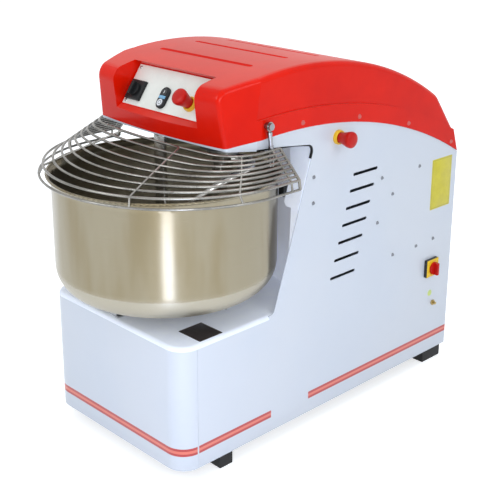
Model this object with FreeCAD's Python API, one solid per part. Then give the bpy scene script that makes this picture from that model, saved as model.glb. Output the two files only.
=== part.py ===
import FreeCAD, Part
import math
import os

from FreeCAD import Placement, Rotation, Vector

# Spiral dough mixer for about 40 kg of dough, in millimetres.
# While the pieces are drawn, x = 0 is the middle of the machine, y = 0 the front face of the base and
# z = 0 the floor; +y runs to the back. save() then puts the origin at the middle of the overall length.

# ---- base and body
body_width = 500.0
body_length = 1010.0
foot_height = 40.0
deck_height = 354.0
sheet = 2.0
front_corner_radius = 50.0
front_panel_length = 50.0
panel_seam = 0.6
deck_bend = 10.0
rear_post_top = 600.0
tab_length = 40.0
tab_places = (100.0, 520.0, 880.0)
foot_length = 80.0
foot_width = 40.0
foot_inset = 10.0
front_foot_y = 127.0
rear_foot_y = 923.0

# ---- clearances
fit = 0.05
seam = 0.3
over = 1.0
near = 0.01
screw_clearance = 0.3

# ---- opening between the base and the head, in the side panels
throat_foot_y = 293.0
throat_slope = 0.332
ceiling_y = 401.0
ceiling_z = 752.0
ceiling_slope = 0.0923
upper_round = 18.0
lower_round = 15.0
throat_radius = 300.0

# ---- bowl
bowl_y = 174.0
bowl_radius = 268.0
bowl_rim_radius = 281.0
bowl_rim_height = 691.0
bowl_bottom = 396.0
bowl_corner = 70.0
bowl_flare = 22.0
bowl_wall = 2.0
bowl_bead = 6.0

# ---- bowl support rollers
roller_ring = 148.0
roller_diameter = 34.0
roller_width = 20.0
roller_pin = 10.0
roller_angles = (-93.0, 27.0, 147.0)
bracket_sheet = 3.0
bracket_ear = 26.0
bracket_ear_round = 7.8
bracket_base = 40.0
roller_ear_top = 388.0
roller_gap = 0.3

# ---- bowl drive
bowl_shaft = 40.0
hub_diameter = 170.0
hub_thickness = 10.0
bridge_plate = 12.0
bridge_leg = 12.0
bearing_bridge_z = 188.0
bearing_bridge_length = 200.0
bowl_housing_diameter = 110.0
bowl_housing_flange = 170.0
bowl_housing_height = 140.0
bowl_housing_neck = 68.0
bowl_neck_height = 26.0
bowl_bearing_outer = 80.0
bowl_bearing_width = 18.0
bowl_pulley_z = 120.0
bowl_pulley_width = 30.0
bowl_pulley_radius = 160.0
bowl_drive_radius = 35.0
gearmotor_y = 560.0
gearmotor_shaft = 30.0
gearbox_side = 120.0
gearbox_height = 60.0
gearmotor_diameter = 116.0
gearmotor_length = 96.0
gearmotor_bridge_z = 160.0

# ---- spiral drive
spiral_x = 85.0
spiral_y = 280.0
spiral_shaft = 35.0
spiral_pulley_radius = 100.0
counter_y = 680.0
counter_shaft = 25.0
counter_small_radius = 40.0
counter_big_radius = 125.0
top_pulley_z = 795.0
top_pulley_width = 22.0
low_pulley_z = 344.0
low_pulley_width = 26.0
motor_y = 880.0
motor_shaft = 24.0
motor_pulley_radius = 40.0
motor_diameter = 160.0
motor_length = 230.0
motor_bridge_z = 377.0
motor_bridge_length = 170.0
counter_bridge_z = 300.0
counter_bridge_length = 100.0
belt_width = 10.0
belt_depth = 8.0
belt_gap = 0.4
fin_depth = 7.0
fin_width = 3.0
fin_count = 12
motor_shaft_seat = 50.0
terminal_box = 14.0
counter_bearing = 52.0
counter_bearing_width = 15.0
spiral_bearing = 62.0
spiral_bearing_width = 14.0
bearing_spacer = 6.0
housing_lip = 5.0
pulley_rim_wall = 12.0
flange_edge = 14.0
hook_flange = 80.0
hook_flange_thickness = 8.0
hook_step = 26.0
bar_nut = 11.0
bar_nut_radius = 17.0
roller_side_gap = 0.5

# ---- frame and head plate
rail = 40.0
rail_wall = 3.0
mid_post_y = 440.0
rear_head_post_y = 735.0
rail_gap = 8.0
head_plate_z = 779.0
head_plate_thickness = 12.0
head_plate_back = 775.0
head_rib_x = 205.0
head_rib_height = 36.0

# ---- spiral hook and breaker bar
hook_bar = 26.0
hook_radius = 105.0
hook_low_radius = 88.0
hook_pitch = 472.0
hook_low_z = 424.0
hook_high_z = 694.0
hook_high_angle = -27.0
hook_arm = ((58.0, 68.0, 0.0), (97.0, 30.0, 1.0))
hook_tail = ((79.0, 26.0), (55.0, 52.0), (26.0, 90.0))
hook_tail_drop = 2.0
hook_bend_share = 0.45
bar_x = -6.0
bar_y = 166.0
bar_diameter = 30.0
bar_floor_gap = 24.0
bar_end_round = 9.0
bar_stud = 20.0

# ---- red head cover
cover_wall = 4.0
cover_half = 247.0
cover_edge_round = 14.0
front_base_y = 147.0
front_base_z = 781.0
front_overhang = 7.0
nose_round = 34.0
front_bow = 1970.0
corner_x = 226.0
corner_y = 160.0
corner_back = 235.0
corner_lean = 2.7
skirt_proud = 2.0
skirt_arc_y = 360.0
skirt_arc_z = -513.0
skirt_arc_radius = 1309.0
skirt_height = 45.0
top_arc_y = 398.0
cover_top = 942.0
top_arc_radius = 950.0
rear_top_y = 900.0
rear_top_z = 806.0
rear_low_y = 985.0
rear_low_z = 697.0
rear_round = 60.0
skirt_rear_top_y = 984.0
skirt_rear_top_z = 690.0
skirt_rear_low_y = 1004.0
skirt_rear_low_z = 633.0
groove_half = 154.0
groove_radius = 8.0
groove_depth = 5.0
groove_places = (302.0, 418.0, 527.0)

# ---- control pocket and controls
pocket_y = 162.2
pocket_z = 822.7
pocket_tilt = 35.0
pocket_length = 108.0
pocket_half = 146.0
chin_ledge_drop = 7.7
plate_width = 282.0
plate_height = 104.0
plate_thickness = 2.5
selector_x = -109.0
selector_up = 39.0
selector_side = 50.0
button_x = -6.0
button_up = 36.0
button_width = 28.0
button_height = 54.0
front_estop_x = 88.0
front_estop_up = 37.0
estop_collar = 50.0
estop_head = 40.0
estop_travel = 6.0
side_estop_y = 506.0
side_estop_z = 752.0
switch_y = 915.5
switch_z = 303.5
switch_plate = 50.0
earth_y = 938.0
earth_z = 189.0

selector_rise = 9.0
selector_knob_radius = 17.0
selector_knob_height = 15.0
knob_stem = 8.0
knob_grip_width = 7.6
knob_grip_inset = 0.9
knob_edge = 1.4
fitting_depth = 18.0
button_rise = 7.0
button_spread = 13.5
button_radius = 9.5
button_stem = 8.0
button_cap = 8.0
button_stand = 1.5
button_well = 6.0
button_body = 24.0
button_body_height = 48.0
lens_width = 16.0
lens_height = 5.0
lens_edge = 0.6
button_edge = 1.0
estop_rise = 6.0
estop_neck = 16.0
estop_rim = 8.0
estop_dome = 9.0
estop_edge = 1.5
switch_rise = 13.0
switch_knob_radius = 18.0
switch_knob_height = 18.0
guard_switch_z = 631.0
guard_switch_height = 25.0
guard_switch_width = 17.0
guard_switch_depth = 12.0
box_in = 140.0
box_depth = 86.0
box_low = 420.0
box_high = 600.0
box_round = 6.0

# ---- small fittings
panel_screw = 5.0
cover_screw = 6.0
plate_screw = 4.0
screw_head_ratio = 0.6
panel_screw_places = (
    (423.0, 668.0), (423.0, 603.0), (683.0, 612.0), (841.0, 612.0), (730.0, 559.0), (672.0, 493.0),
    (922.0, 387.0), (845.0, 384.0), (743.0, 386.0),
)
skirt_screw_places = (379.0, 581.0, 780.0, 975.0)
skirt_screw_rise = 13.0
vent_length = 95.0
vent_height = 8.0
vent_places = (
    (616.0, 644.0), (605.0, 603.0), (592.0, 560.0), (580.0, 518.0), (567.0, 475.0), (554.0, 431.0),
    (541.0, 386.0),
)
cheek_low = 597.0
cheek_in = 200.0
cheek_round = 15.0
estop_shank = 22.0
earth_stud_size = 8.0
earth_nut_height = 4.8
window_half = 125.0
window_low = 8.0
window_high = 84.0
head_plate_gap = 3.0
spiral_housing = 110.0
counter_housing = 84.0

# ---- wire guard
guard_rings = 9
guard_ring_wire = 6.0
guard_radial_wire = 5.0
guard_end_wire = 7.0
guard_rim_drop = 6.0
guard_side_gap = 49.0
guard_front_gap = 6.0
guard_first_rise = 15.0
guard_first_in = 3.0
guard_first_back = 12.0
guard_rise = 7.6
guard_step_front = 28.6
guard_arm_in = 4.2
guard_side_y = 225.0
guard_end_y = 290.0
guard_corner_share = 0.88
guard_front_share = 0.97
guard_pivot_y = 260.0
guard_pivot_z = 822.0
guard_arm_y = 265.0
guard_arm_gap = 12.0
guard_sleeve = 14.0
guard_sleeve_length = 40.0
guard_middle_radial = (170.0, 105.0)
guard_side_radial_in = 12.0
guard_bolt = 8.0
guard_bolt_head = 5.0
guard_eye = 22.0
guard_eye_width = 5.0

# ---- worked out from the sizes above
half = body_width / 2
top_arc_z = cover_top - top_arc_radius
throat_lean = math.atan(throat_slope)
pocket_lean = math.radians(pocket_tilt)
head_plate_top = head_plate_z + head_plate_thickness
guard_rim_z = bowl_rim_height - guard_rim_drop
guard_rim_half = bowl_rim_radius + guard_side_gap
guard_rim_front = bowl_y - bowl_rim_radius - guard_front_gap
guard_first_z = bowl_rim_height + guard_first_rise
guard_first_half = guard_rim_half - guard_first_in
guard_first_front = guard_rim_front + guard_first_back
guard_top_z = guard_first_z + (guard_rings - 1) * guard_rise
guard_arm_x = half + guard_arm_gap
guard_top_half = guard_arm_x + guard_arm_in
guard_step_half = (guard_first_half - guard_top_half) / (guard_rings - 1)
guard_front = guard_rim_front - guard_ring_wire / 2
middle_y = (body_length + guard_front) / 2
inside = half - sheet
rail_out = half - rail_gap - sheet
rail_in = rail_out - rail
bridge_half = rail_out - rail / 2 + bridge_leg / 2

os.makedirs("parts", exist_ok=True)


# ---------------------------------------------------------------- helpers

def save(name, shape):
    moved = shape.copy()
    moved.translate(Vector(0, -middle_y, 0))
    moved.exportStep("parts/" + name + ".step")


def group(solids):
    return Part.makeCompound(solids)


def block(x0, x1, y0, y1, z0, z1):
    return Part.makeBox(x1 - x0, y1 - y0, z1 - z0, Vector(x0, y0, z0))


def rod(radius, start, end):
    run = end.sub(start)
    return Part.makeCylinder(radius, run.Length, start, run)


def disc(radius, x, y, z0, z1):
    return Part.makeCylinder(radius, z1 - z0, Vector(x, y, z0))


def ring(outer, inner, x, y, z0, z1):
    return disc(outer, x, y, z0, z1).cut(disc(inner, x, y, z0 - over, z1 + over))


def polygon(points):
    return Part.Face(Part.makePolygon([*points, points[0]]))


def side_prism(points, x0, x1):
    # a solid whose outline in the y-z plane is given, from x0 to x1
    face = polygon([Vector(x0, y, z) for y, z in points])
    return face.extrude(Vector(x1 - x0, 0, 0))


def mirrored(shape):
    return shape.mirror(Vector(0, 0, 0), Vector(1, 0, 0))


def both_sides(shape):
    return [shape, mirrored(shape)]


def round_path(points, share):
    # straight runs between the points, joined by tangent arcs that take that share of the shorter run
    edges = []
    start = points[0]
    for before, corner, after in zip(points, points[1:], points[2:]):
        into = corner.sub(before)
        out = after.sub(corner)
        cut = share * min(into.Length, out.Length)
        into.normalize()
        out.normalize()
        turn = into.getAngle(out)
        first = corner.sub(Vector(into).multiply(cut))
        last = corner.add(Vector(out).multiply(cut))
        inward = Vector(out).sub(into)
        inward.normalize()
        middle = corner.add(inward.multiply(arc_depth(cut, turn)))
        if first.sub(start).Length > 1e-6:
            edges.append(Part.makeLine(start, first))
        edges.append(Part.Arc(first, middle, last).toShape())
        start = last
    edges.append(Part.makeLine(start, points[-1]))
    return Part.Wire(edges)


def arc_depth(cut, turn):
    # how far inside a corner the middle of its tangent arc lies
    radius = cut / math.tan(turn / 2)
    return radius / math.cos(turn / 2) - radius


def sweep_round(path, radius):
    edge = path.Edges[0]
    start = edge.valueAt(edge.FirstParameter)
    along = edge.tangentAt(edge.FirstParameter)
    circle = Part.Wire(Part.makeCircle(radius, start, along))
    return path.makePipeShell([circle], True, True)


def across(radius, y, z, x0, x1):
    # a cylinder lying across the machine
    return Part.makeCylinder(radius, x1 - x0, Vector(x0, y, z), Vector(1, 0, 0))


def holes(shape, cutters):
    for cutter in cutters:
        shape = shape.cut(cutter)
    return shape


def edges_near(shape, test):
    return [edge for edge in shape.Edges if test(edge)]


# ---------------------------------------------------------------- lines shared by the body pieces

def half_space(point, normal):
    # a large block that fills the side of a plane to which the normal points
    reach = 2 * body_length
    slab = Part.makeBox(reach, 2 * reach, 2 * reach, Vector(0, -reach, -reach))
    slab.Placement = Placement(point, Rotation(Vector(1, 0, 0), normal))
    return slab


def is_upright(edge):
    box = edge.BoundBox
    return box.ZLength > 1 and box.XLength < near and box.YLength < near


def throat_y(z):
    # the sloping front edge of the column
    return throat_foot_y + throat_slope * (z - deck_height)


def ceiling(y):
    # underside of the head, which rises to the front
    return ceiling_z + ceiling_slope * (ceiling_y - y)


def throat_top():
    # where the sloping edge would meet the ceiling without its round
    rise = ceiling(throat_foot_y - throat_slope * deck_height)
    z = rise / (1 + ceiling_slope * throat_slope)
    return throat_y(z), z


def skirt_bottom(y):
    return skirt_arc_z + math.sqrt(skirt_arc_radius**2 - (y - skirt_arc_y) ** 2)


def column_form(offset):
    # everything behind the front of the column: a sloping plane with a round recess for the bowl
    back = offset / math.cos(throat_lean)
    low = foot_height
    high = skirt_bottom(skirt_arc_y)
    points = [
        (throat_y(low) + back, low),
        (body_length, low),
        (body_length, high),
        (throat_y(high) + back, high),
    ]
    prism = side_prism(points, -body_width, body_width)
    return prism.cut(disc(throat_radius + offset, 0, bowl_y, low - over, high + over))


def ceiling_form(offset):
    # everything above the underside of the head
    front = -body_length
    points = [
        (front, ceiling(front) + offset),
        (body_length, ceiling(body_length) + offset),
        (body_length, 2 * body_length),
        (front, 2 * body_length),
    ]
    return side_prism(points, -body_width, body_width)


def body_plan(inset, z0, z1):
    # base seen from above, with its two round front corners
    box = block(-half + inset, half - inset, inset, body_length - inset, z0, z1)
    corners = [e for e in box.Edges if is_upright(e) and e.BoundBox.YMin < body_length / 2]
    return box.makeFillet(front_corner_radius - inset, corners)


def base_form(inset):
    # base with the rolled edge round its top
    top = deck_height - inset
    form = body_plan(inset, foot_height, top)
    back = body_length - inset - over
    rim = [e for e in form.Edges if e.BoundBox.ZMin > top - near and e.BoundBox.YMin < back]
    return form.makeFillet(deck_bend - inset, rim)


def deck_fold_end():
    # the rolled edge of the deck stops where the side panel turns up to the column
    return throat_foot_y - lower_round


# ---------------------------------------------------------------- frame

def tube_y(x0, x1, y0, y1, z):
    outer = block(x0, x1, y0, y1, z, z + rail)
    hollow = block(x0 + rail_wall, x1 - rail_wall, y0 - over, y1 + over, z + rail_wall, z + rail - rail_wall)
    return outer.cut(hollow)


def tube_x(x0, x1, y, z):
    outer = block(x0, x1, y, y + rail, z, z + rail)
    hollow = block(x0 - over, x1 + over, y + rail_wall, y + rail - rail_wall, z + rail_wall, z + rail - rail_wall)
    return outer.cut(hollow)


def post(x0, x1, y, top):
    outer = block(x0, x1, y, y + rail, foot_height + rail, top)
    return outer.cut(block(x0 + rail_wall, x1 - rail_wall, y + rail_wall, y + rail - rail_wall,
                           foot_height + rail - over, top - rail_wall))


def frame_back():
    return body_length - 2 * sheet


def base_frame():
    back = frame_back()
    side = tube_y(rail_in, rail_out, front_panel_length, back, foot_height)
    pieces = both_sides(side)
    for y, top in (
        (mid_post_y, head_plate_z),
        (rear_head_post_y, head_plate_z),
        (back - rail, rear_post_top),
    ):
        pieces += both_sides(post(rail_in, rail_out, y, top))
    for y in (front_foot_y, mid_post_y, back - rail):
        pieces.append(tube_x(-rail_in, rail_in, y, foot_height))
    for y in tab_places:
        tab = block(rail_out, inside, y, y + tab_length, foot_height + rail / 4, foot_height + rail * 3 / 4)
        pieces += both_sides(tab)
    return pieces[0].multiFuse(pieces[1:]).removeSplitter()


def rubber_feet():
    out = half - foot_inset
    front = block(out - foot_length, out, front_foot_y, front_foot_y + foot_width, 0, foot_height)
    rear = block(out - foot_width, out, rear_foot_y, rear_foot_y + foot_length, 0, foot_height)
    return group(both_sides(front) + both_sides(rear))


def bridge(y, length, z, hole):
    # a plate on two legs that stand on the side rails
    top = z + bridge_plate
    outer = block(-bridge_half, bridge_half, y - length / 2, y + length / 2, foot_height + rail, top)
    leg_in = bridge_half - bridge_leg
    outer = outer.cut(block(-leg_in, leg_in, y - length, y + length, foot_height, z))
    return outer.cut(disc(hole, 0, y, z - over, top + over))


def drive_bridges():
    return group([
        bridge(bowl_y, bearing_bridge_length, bearing_bridge_z, bowl_shaft / 2 + 2),
        bridge(gearmotor_y, gearbox_side, gearmotor_bridge_z, gearmotor_shaft / 2 + 2),
        bridge(counter_y, counter_bridge_length, counter_bridge_z, counter_shaft / 2 + 2),
        bridge(motor_y, motor_bridge_length, motor_bridge_z, motor_shaft / 2 + 2),
    ])


# ---------------------------------------------------------------- body panels

def front_panel():
    shell = body_plan(0, foot_height, deck_height - deck_bend).cut(body_plan(sheet, 0, deck_height))
    return shell.common(block(-half, half, 0, front_panel_length, foot_height, deck_height))


def deck_plate():
    form = base_form(0).cut(base_form(sheet))
    skin = form.common(block(-half, half, 0, body_length, deck_height - deck_bend, deck_height))
    skin = skin.cut(column_form(-seam))
    skin = skin.cut(block(-half, half, deck_fold_end(), body_length, foot_height, deck_height - sheet))
    edge = inside - seam
    for x0, x1 in ((edge, half + over), (-half - over, -edge)):
        skin = skin.cut(block(x0, x1, deck_fold_end(), body_length, foot_height, deck_height + over))
    return skin.cut(disc(bowl_housing_neck / 2 + seam, 0, bowl_y, foot_height, deck_height + over))


def opening_form():
    # the open space over the deck, as the side panels leave it
    top = skirt_bottom(skirt_arc_y) + over
    front = -body_length
    points = [
        (front, deck_height),
        (throat_foot_y, deck_height),
        throat_top(),
        (corner_back, ceiling(corner_back)),
        (corner_back, top),
        (front, top),
    ]
    form = side_prism(points, -body_width, body_width)
    upper_y, upper_z = throat_top()
    foot = [e for e in form.Edges if lies_at(e, throat_foot_y, deck_height)]
    upper = [e for e in form.Edges if lies_at(e, upper_y, upper_z)]
    return form.makeFillet(lower_round, foot).makeFillet(upper_round, upper)


def lies_at(edge, y, z):
    centre = edge.BoundBox.Center
    return abs(centre.y - y) < near and abs(centre.z - z) < near


def side_panel():
    top = skirt_bottom(skirt_arc_y) + over
    front = front_panel_length + panel_seam
    blank = block(inside, half, front, body_length, foot_height, top)
    blank = blank.common(across(skirt_arc_radius - seam, skirt_arc_y, skirt_arc_z, inside - over, half + over))
    blank = blank.cut(opening_form())
    fold = block(inside - over, half + over, 0, deck_fold_end(), deck_height - deck_bend, deck_height + over)
    blank = blank.cut(fold)
    for y, z in vent_places:
        blank = blank.cut(slot_x(y, z))
    for y, z in panel_screw_places:
        blank = blank.cut(across(panel_screw / 2 + screw_clearance, y, z, inside - over, half + over))
    return blank


def slot_x(y, z):
    run = vent_length - vent_height
    bar = block(inside - over, half + over, y - run / 2, y + run / 2, z - vent_height / 2, z + vent_height / 2)
    ends = [across(vent_height / 2, y + end, z, inside - over, half + over) for end in (-run / 2, run / 2)]
    return bar.multiFuse(ends)


def right_side_panel():
    panel = side_panel()
    cutters = [
        across(estop_shank / 2 + screw_clearance, side_estop_y, side_estop_z, inside - over, half + over),
        across(estop_shank / 2 + screw_clearance, switch_y, switch_z, inside - over, half + over),
        across(earth_stud_size / 2 + fit, earth_y, earth_z, inside - over, half + over),
    ]
    return holes(panel, cutters)


def rear_panel():
    top = skirt_bottom(body_length) - seam
    edge = inside - seam
    return block(-edge, edge, body_length - sheet, body_length, foot_height, top)


def throat_wall():
    skin = column_form(0).cut(column_form(sheet))
    edge = inside - seam
    skin = skin.common(block(-edge, edge, 0, body_length, deck_height - sheet, head_plate_z))
    return skin.cut(ceiling_form(-seam))


def throat_cheeks():
    # flat plates on the slope, either side of the recess
    top_y, top_z = throat_top()
    length = (top_z - cheek_low) / math.cos(throat_lean)
    plate = block(cheek_in, inside - seam, -sheet, 0, 0, length)
    lower = [e for e in plate.Edges if e.BoundBox.XMax < cheek_in + near and e.BoundBox.ZMax < near]
    plate = plate.makeFillet(cheek_round, lower)
    plate.rotate(Vector(0, 0, 0), Vector(1, 0, 0), -math.degrees(throat_lean))
    plate.translate(Vector(0, throat_y(cheek_low), cheek_low))
    return group(both_sides(plate.cut(ceiling_form(-seam))))


def head_underside():
    # folded tray under the head, turned up along the bowed front and the angled corners
    outer = rounded_plan(0, half)
    outer = outer.common(across(skirt_arc_radius - seam, skirt_arc_y, skirt_arc_z, -half, half))
    outer = outer.common(ceiling_form(0))
    hollow = rounded_plan(sheet, half + 2 * sheet).common(ceiling_form(sheet))
    tray = outer.cut(hollow)
    edge = inside - seam
    tray = tray.cut(column_form(-seam))
    tray = tray.cut(block(-half, half, ceiling_y + throat_radius, 2 * body_length, 0, body_length))
    for x0, x1 in ((edge, half + over), (-half - over, -edge)):
        tray = tray.cut(block(x0, x1, corner_back - seam, body_length, 0, body_length))
    cutters = [
        disc(spiral_housing / 2 + seam, spiral_x, spiral_y, ceiling_z, head_plate_z),
        disc(bar_diameter / 2 + seam, bar_x, bar_y, ceiling_z, head_plate_z),
    ]
    return holes(tray, cutters)


# ---------------------------------------------------------------- head

def front_lean():
    return math.radians(front_overhang)


def front_axis():
    # direction of the leaning front line, and the centre line of its bow
    lean = front_lean()
    along = Vector(0, -math.sin(lean), math.cos(lean))
    inward = Vector(0, math.cos(lean), math.sin(lean))
    return along, Vector(0, front_base_y, front_base_z).add(inward.multiply(front_bow))


def corner_normal():
    run = Vector(half - corner_x, corner_back - corner_y, 0)
    run.normalize()
    lean = math.radians(corner_lean)
    return Vector(run.y * math.cos(lean), -run.x * math.cos(lean), math.sin(lean))


def plan_form(inset, side):
    # head seen from above: straight sides, angled front corners and a bowed front that leans forward
    low = skirt_rear_low_z - skirt_height
    high = top_arc_z + top_arc_radius + skirt_height
    form = block(-side + inset, side - inset, 0, body_length + skirt_height, low, high)
    along, centre = front_axis()
    start = centre.sub(Vector(along).multiply(body_length))
    form = form.common(Part.makeCylinder(front_bow - inset, 2 * body_length, start, along))
    normal = corner_normal()
    point = Vector(corner_x, corner_y, front_base_z).sub(Vector(normal).multiply(inset))
    for wedge in both_sides(half_space(point, normal)):
        form = form.cut(wedge)
    return form


def is_flank(face):
    # side planes and the angled planes at the front corners
    return isinstance(face.Surface, Part.Plane) and abs(face.normalAt(0, 0).x) > 0.9


def flank_edges(form, wanted):
    # edges between a flank and another face that is wanted
    chosen = []
    for edge in form.Edges:
        faces = form.ancestorsOfType(edge, Part.Face)
        others = [face for face in faces if not is_flank(face)]
        if len(others) == 1 and wanted(edge, others[0]):
            chosen.append(edge)
    return chosen


def is_bow(edge, face):
    return isinstance(face.Surface, Part.Cylinder)


def is_above_crease(edge, face):
    middle = edge.valueAt((edge.FirstParameter + edge.LastParameter) / 2)
    reach = math.hypot(middle.y - skirt_arc_y, middle.z - skirt_arc_z)
    return reach > skirt_arc_radius + skirt_height + over


def rounded_plan(inset, side):
    form = plan_form(inset, side)
    return form.makeFillet(cover_edge_round - inset, flank_edges(form, is_bow))


def rear_normal(low_y, low_z, top_y, top_z):
    run = Vector(0, low_y - top_y, low_z - top_z)
    run.normalize()
    return Vector(0, -run.z, run.y)


def upper_form(inset, drop):
    # upper part of the cover: arched top, sloping back, rounded edges
    form = plan_form(inset, cover_half)
    form = form.common(across(top_arc_radius - inset, top_arc_y, top_arc_z, -half, half))
    normal = rear_normal(rear_low_y, rear_low_z, rear_top_y, rear_top_z)
    point = Vector(0, rear_low_y, rear_low_z).sub(Vector(normal).multiply(inset))
    form = form.cut(half_space(point, normal))
    crease = skirt_arc_radius + skirt_height - drop
    form = form.cut(across(crease, skirt_arc_y, skirt_arc_z, -body_width, body_width))
    back = [e for e in form.Edges if e.BoundBox.XLength > cover_half and is_top_back(e)]
    form = form.makeFillet(rear_round - inset, back)
    nose = [e for e in form.Edges if is_nose(e)]
    form = form.makeFillet(nose_round - inset, nose)
    return form.makeFillet(cover_edge_round - inset, flank_edges(form, is_above_crease))


def is_top_back(edge):
    centre = edge.BoundBox.Center
    return centre.y > top_arc_y and centre.z > (rear_low_z + rear_top_z) / 2


def is_nose(edge):
    box = edge.BoundBox
    return box.YMax < corner_y and box.ZMin > pocket_z + skirt_height and box.XLength > cover_half


def skirt_form(inset, drop, cap):
    # lower band of the cover, slightly proud of the wall above it
    form = rounded_plan(inset, half + skirt_proud)
    crease = skirt_arc_radius + skirt_height - cap
    form = form.common(across(crease, skirt_arc_y, skirt_arc_z, -body_width, body_width))
    form = form.cut(across(skirt_arc_radius - drop, skirt_arc_y, skirt_arc_z, -body_width, body_width))
    return form.cut(behind_skirt(inset))


def behind_skirt(inset):
    # space behind the rear wall of the skirt
    normal = rear_normal(skirt_rear_low_y, skirt_rear_low_z, skirt_rear_top_y, skirt_rear_top_z)
    point = Vector(0, skirt_rear_low_y, skirt_rear_low_z).sub(Vector(normal).multiply(inset))
    return half_space(point, normal)


def pocket_axes():
    up = Vector(0, math.sin(pocket_lean), math.cos(pocket_lean))
    out = Vector(0, -math.cos(pocket_lean), math.sin(pocket_lean))
    return Vector(0, pocket_y, pocket_z), up, out


def pocket_form(grow):
    # the recess for the controls: its floor leans back, a ledge below and a lip above
    low, up, out = pocket_axes()
    ledge = Vector(0, -chin_ledge_drop, pocket_y - front_base_y)
    ledge.normalize()
    form = block(-pocket_half - grow, pocket_half + grow, 0, body_length / 2, pocket_z / 2, body_length)
    form = form.common(half_space(low.sub(Vector(out).multiply(grow)), out))
    form = form.common(half_space(low.sub(Vector(ledge).multiply(grow)), ledge))
    high = low.add(Vector(up).multiply(pocket_length + grow))
    return form.common(half_space(high, up.negative()))


def groove_form(y, grow):
    # a shallow trough across the top, with round ends
    top = top_arc_z + math.sqrt(top_arc_radius**2 - (y - top_arc_y) ** 2)
    z = top + groove_radius - groove_depth
    radius = groove_radius + grow
    trough = across(radius, y, z, -groove_half, groove_half)
    balls = [Part.makeSphere(radius, Vector(x, y, z)) for x in (-groove_half, groove_half)]
    return trough.multiFuse(balls)


def head_cover():
    outer = upper_form(0, cover_wall).fuse(skirt_form(0, 0, 0))
    inner = upper_form(cover_wall, 1.5 * skirt_height).cut(behind_skirt(cover_wall))
    inner = inner.fuse(skirt_form(cover_wall, skirt_height / 2, cover_wall))
    outer = outer.cut(pocket_form(0))
    inner = inner.cut(pocket_form(cover_wall))
    for y in groove_places:
        outer = outer.cut(groove_form(y, 0))
        inner = inner.cut(groove_form(y, cover_wall))
    cover = outer.cut(inner)
    window = block(-window_half, window_half, window_low, window_high, -cover_wall - over, over)
    cover = cover.cut(on_plate(window))
    for y in skirt_screw_places:
        hole = cover_screw / 2 + screw_clearance
        cover = cover.cut(across(hole, y, skirt_screw_z(y), -body_width, body_width))
    return cover.cut(across(guard_bolt / 2 + fit, guard_pivot_y, guard_pivot_z, -body_width, body_width))


def skirt_screw_z(y):
    return skirt_bottom(y) + skirt_screw_rise


def head_plate():
    form = rounded_plan(cover_wall + head_plate_gap, cover_half)
    plate = form.common(block(-half, half, 0, head_plate_back, head_plate_z, head_plate_top))
    rib = block(head_rib_x, head_rib_x + bridge_plate, corner_back, head_plate_back, head_plate_top,
                head_plate_top + head_rib_height)
    plate = plate.multiFuse(both_sides(rib)).removeSplitter()
    cutters = [
        disc(spiral_shaft / 2 + seam, spiral_x, spiral_y, head_plate_z - over, head_plate_top + over),
        disc(counter_shaft / 2 + seam, 0, counter_y, head_plate_z - over, head_plate_top + over),
        disc(bar_stud / 2 + fit, bar_x, bar_y, head_plate_z - over, head_plate_top + over),
    ]
    return holes(plate, cutters)


# ---------------------------------------------------------------- screws and controls

def screw(point, normal, size, length):
    # button-head screw: the head lies on the outer side of the point, the shank goes in
    out = Vector(normal)
    out.normalize()
    head = Part.makeCone(size, size * screw_head_ratio, size * screw_head_ratio, point, out)
    shank = Part.makeCylinder(size / 2, length, point, out.negative())
    return head.fuse(shank)


def body_screws():
    # screws of the side panels and of the cover's skirt
    pieces = []
    for y, z in panel_screw_places:
        pieces += both_sides(screw(Vector(half, y, z), Vector(1, 0, 0), panel_screw, 3 * sheet))
    for y in skirt_screw_places:
        point = Vector(half + skirt_proud, y, skirt_screw_z(y))
        pieces += both_sides(screw(point, Vector(1, 0, 0), cover_screw, 2 * cover_wall))
    return group(pieces)


def on_plate(shape):
    # from the control plate's own axes (across, up the plate, out of it) to the machine
    low, up, out = pocket_axes()
    placed = shape.copy()
    turn = Rotation(Vector(1, 0, 0), up, out, "ZXY")
    placed.Placement = Placement(low, turn).multiply(shape.Placement)
    return placed


def on_right_side(shape, y, z):
    # from a fitting's own axes (back, up, out) to the outside of the right panel
    placed = shape.copy()
    turn = Rotation(Vector(0, 1, 0), Vector(0, 0, 1), Vector(1, 0, 0), "ZXY")
    placed.Placement = Placement(Vector(half, y, z), turn).multiply(shape.Placement)
    return placed


def plate_low():
    return (pocket_length - plate_height) / 2


def plate_corners():
    edge = 2 * plate_screw
    low = plate_low() + edge
    high = plate_low() + plate_height - edge
    return [(x, up) for x in (-plate_width / 2 + edge, plate_width / 2 - edge) for up in (low, high)]


def oval(width, height, z0, z1):
    # upright oval block about the local origin
    run = height - width
    bar = block(-width / 2, width / 2, -run / 2, run / 2, z0, z1)
    ends = [disc(width / 2, 0, end, z0, z1) for end in (-run / 2, run / 2)]
    return bar.multiFuse(ends).removeSplitter()


def moved(shape, x, y, z):
    placed = shape.copy()
    placed.translate(Vector(x, y, z))
    return placed


def control_plate():
    side = plate_width / 2
    plate = block(-side, side, plate_low(), plate_low() + plate_height, 0, plate_thickness)
    hole = estop_shank / 2 + screw_clearance
    for x, up in ((selector_x, selector_up), (front_estop_x, front_estop_up)):
        plate = plate.cut(disc(hole, x, up, -over, plate_thickness + over))
    wide = button_body + 2 * screw_clearance
    body = oval(wide, button_body_height + 2 * screw_clearance, -over, plate_thickness + over)
    plate = plate.cut(moved(body, button_x, button_up, 0))
    for x, up in plate_corners():
        plate = plate.cut(disc(plate_screw / 2 + screw_clearance, x, up, -over, plate_thickness + over))
    return on_plate(plate)


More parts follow.
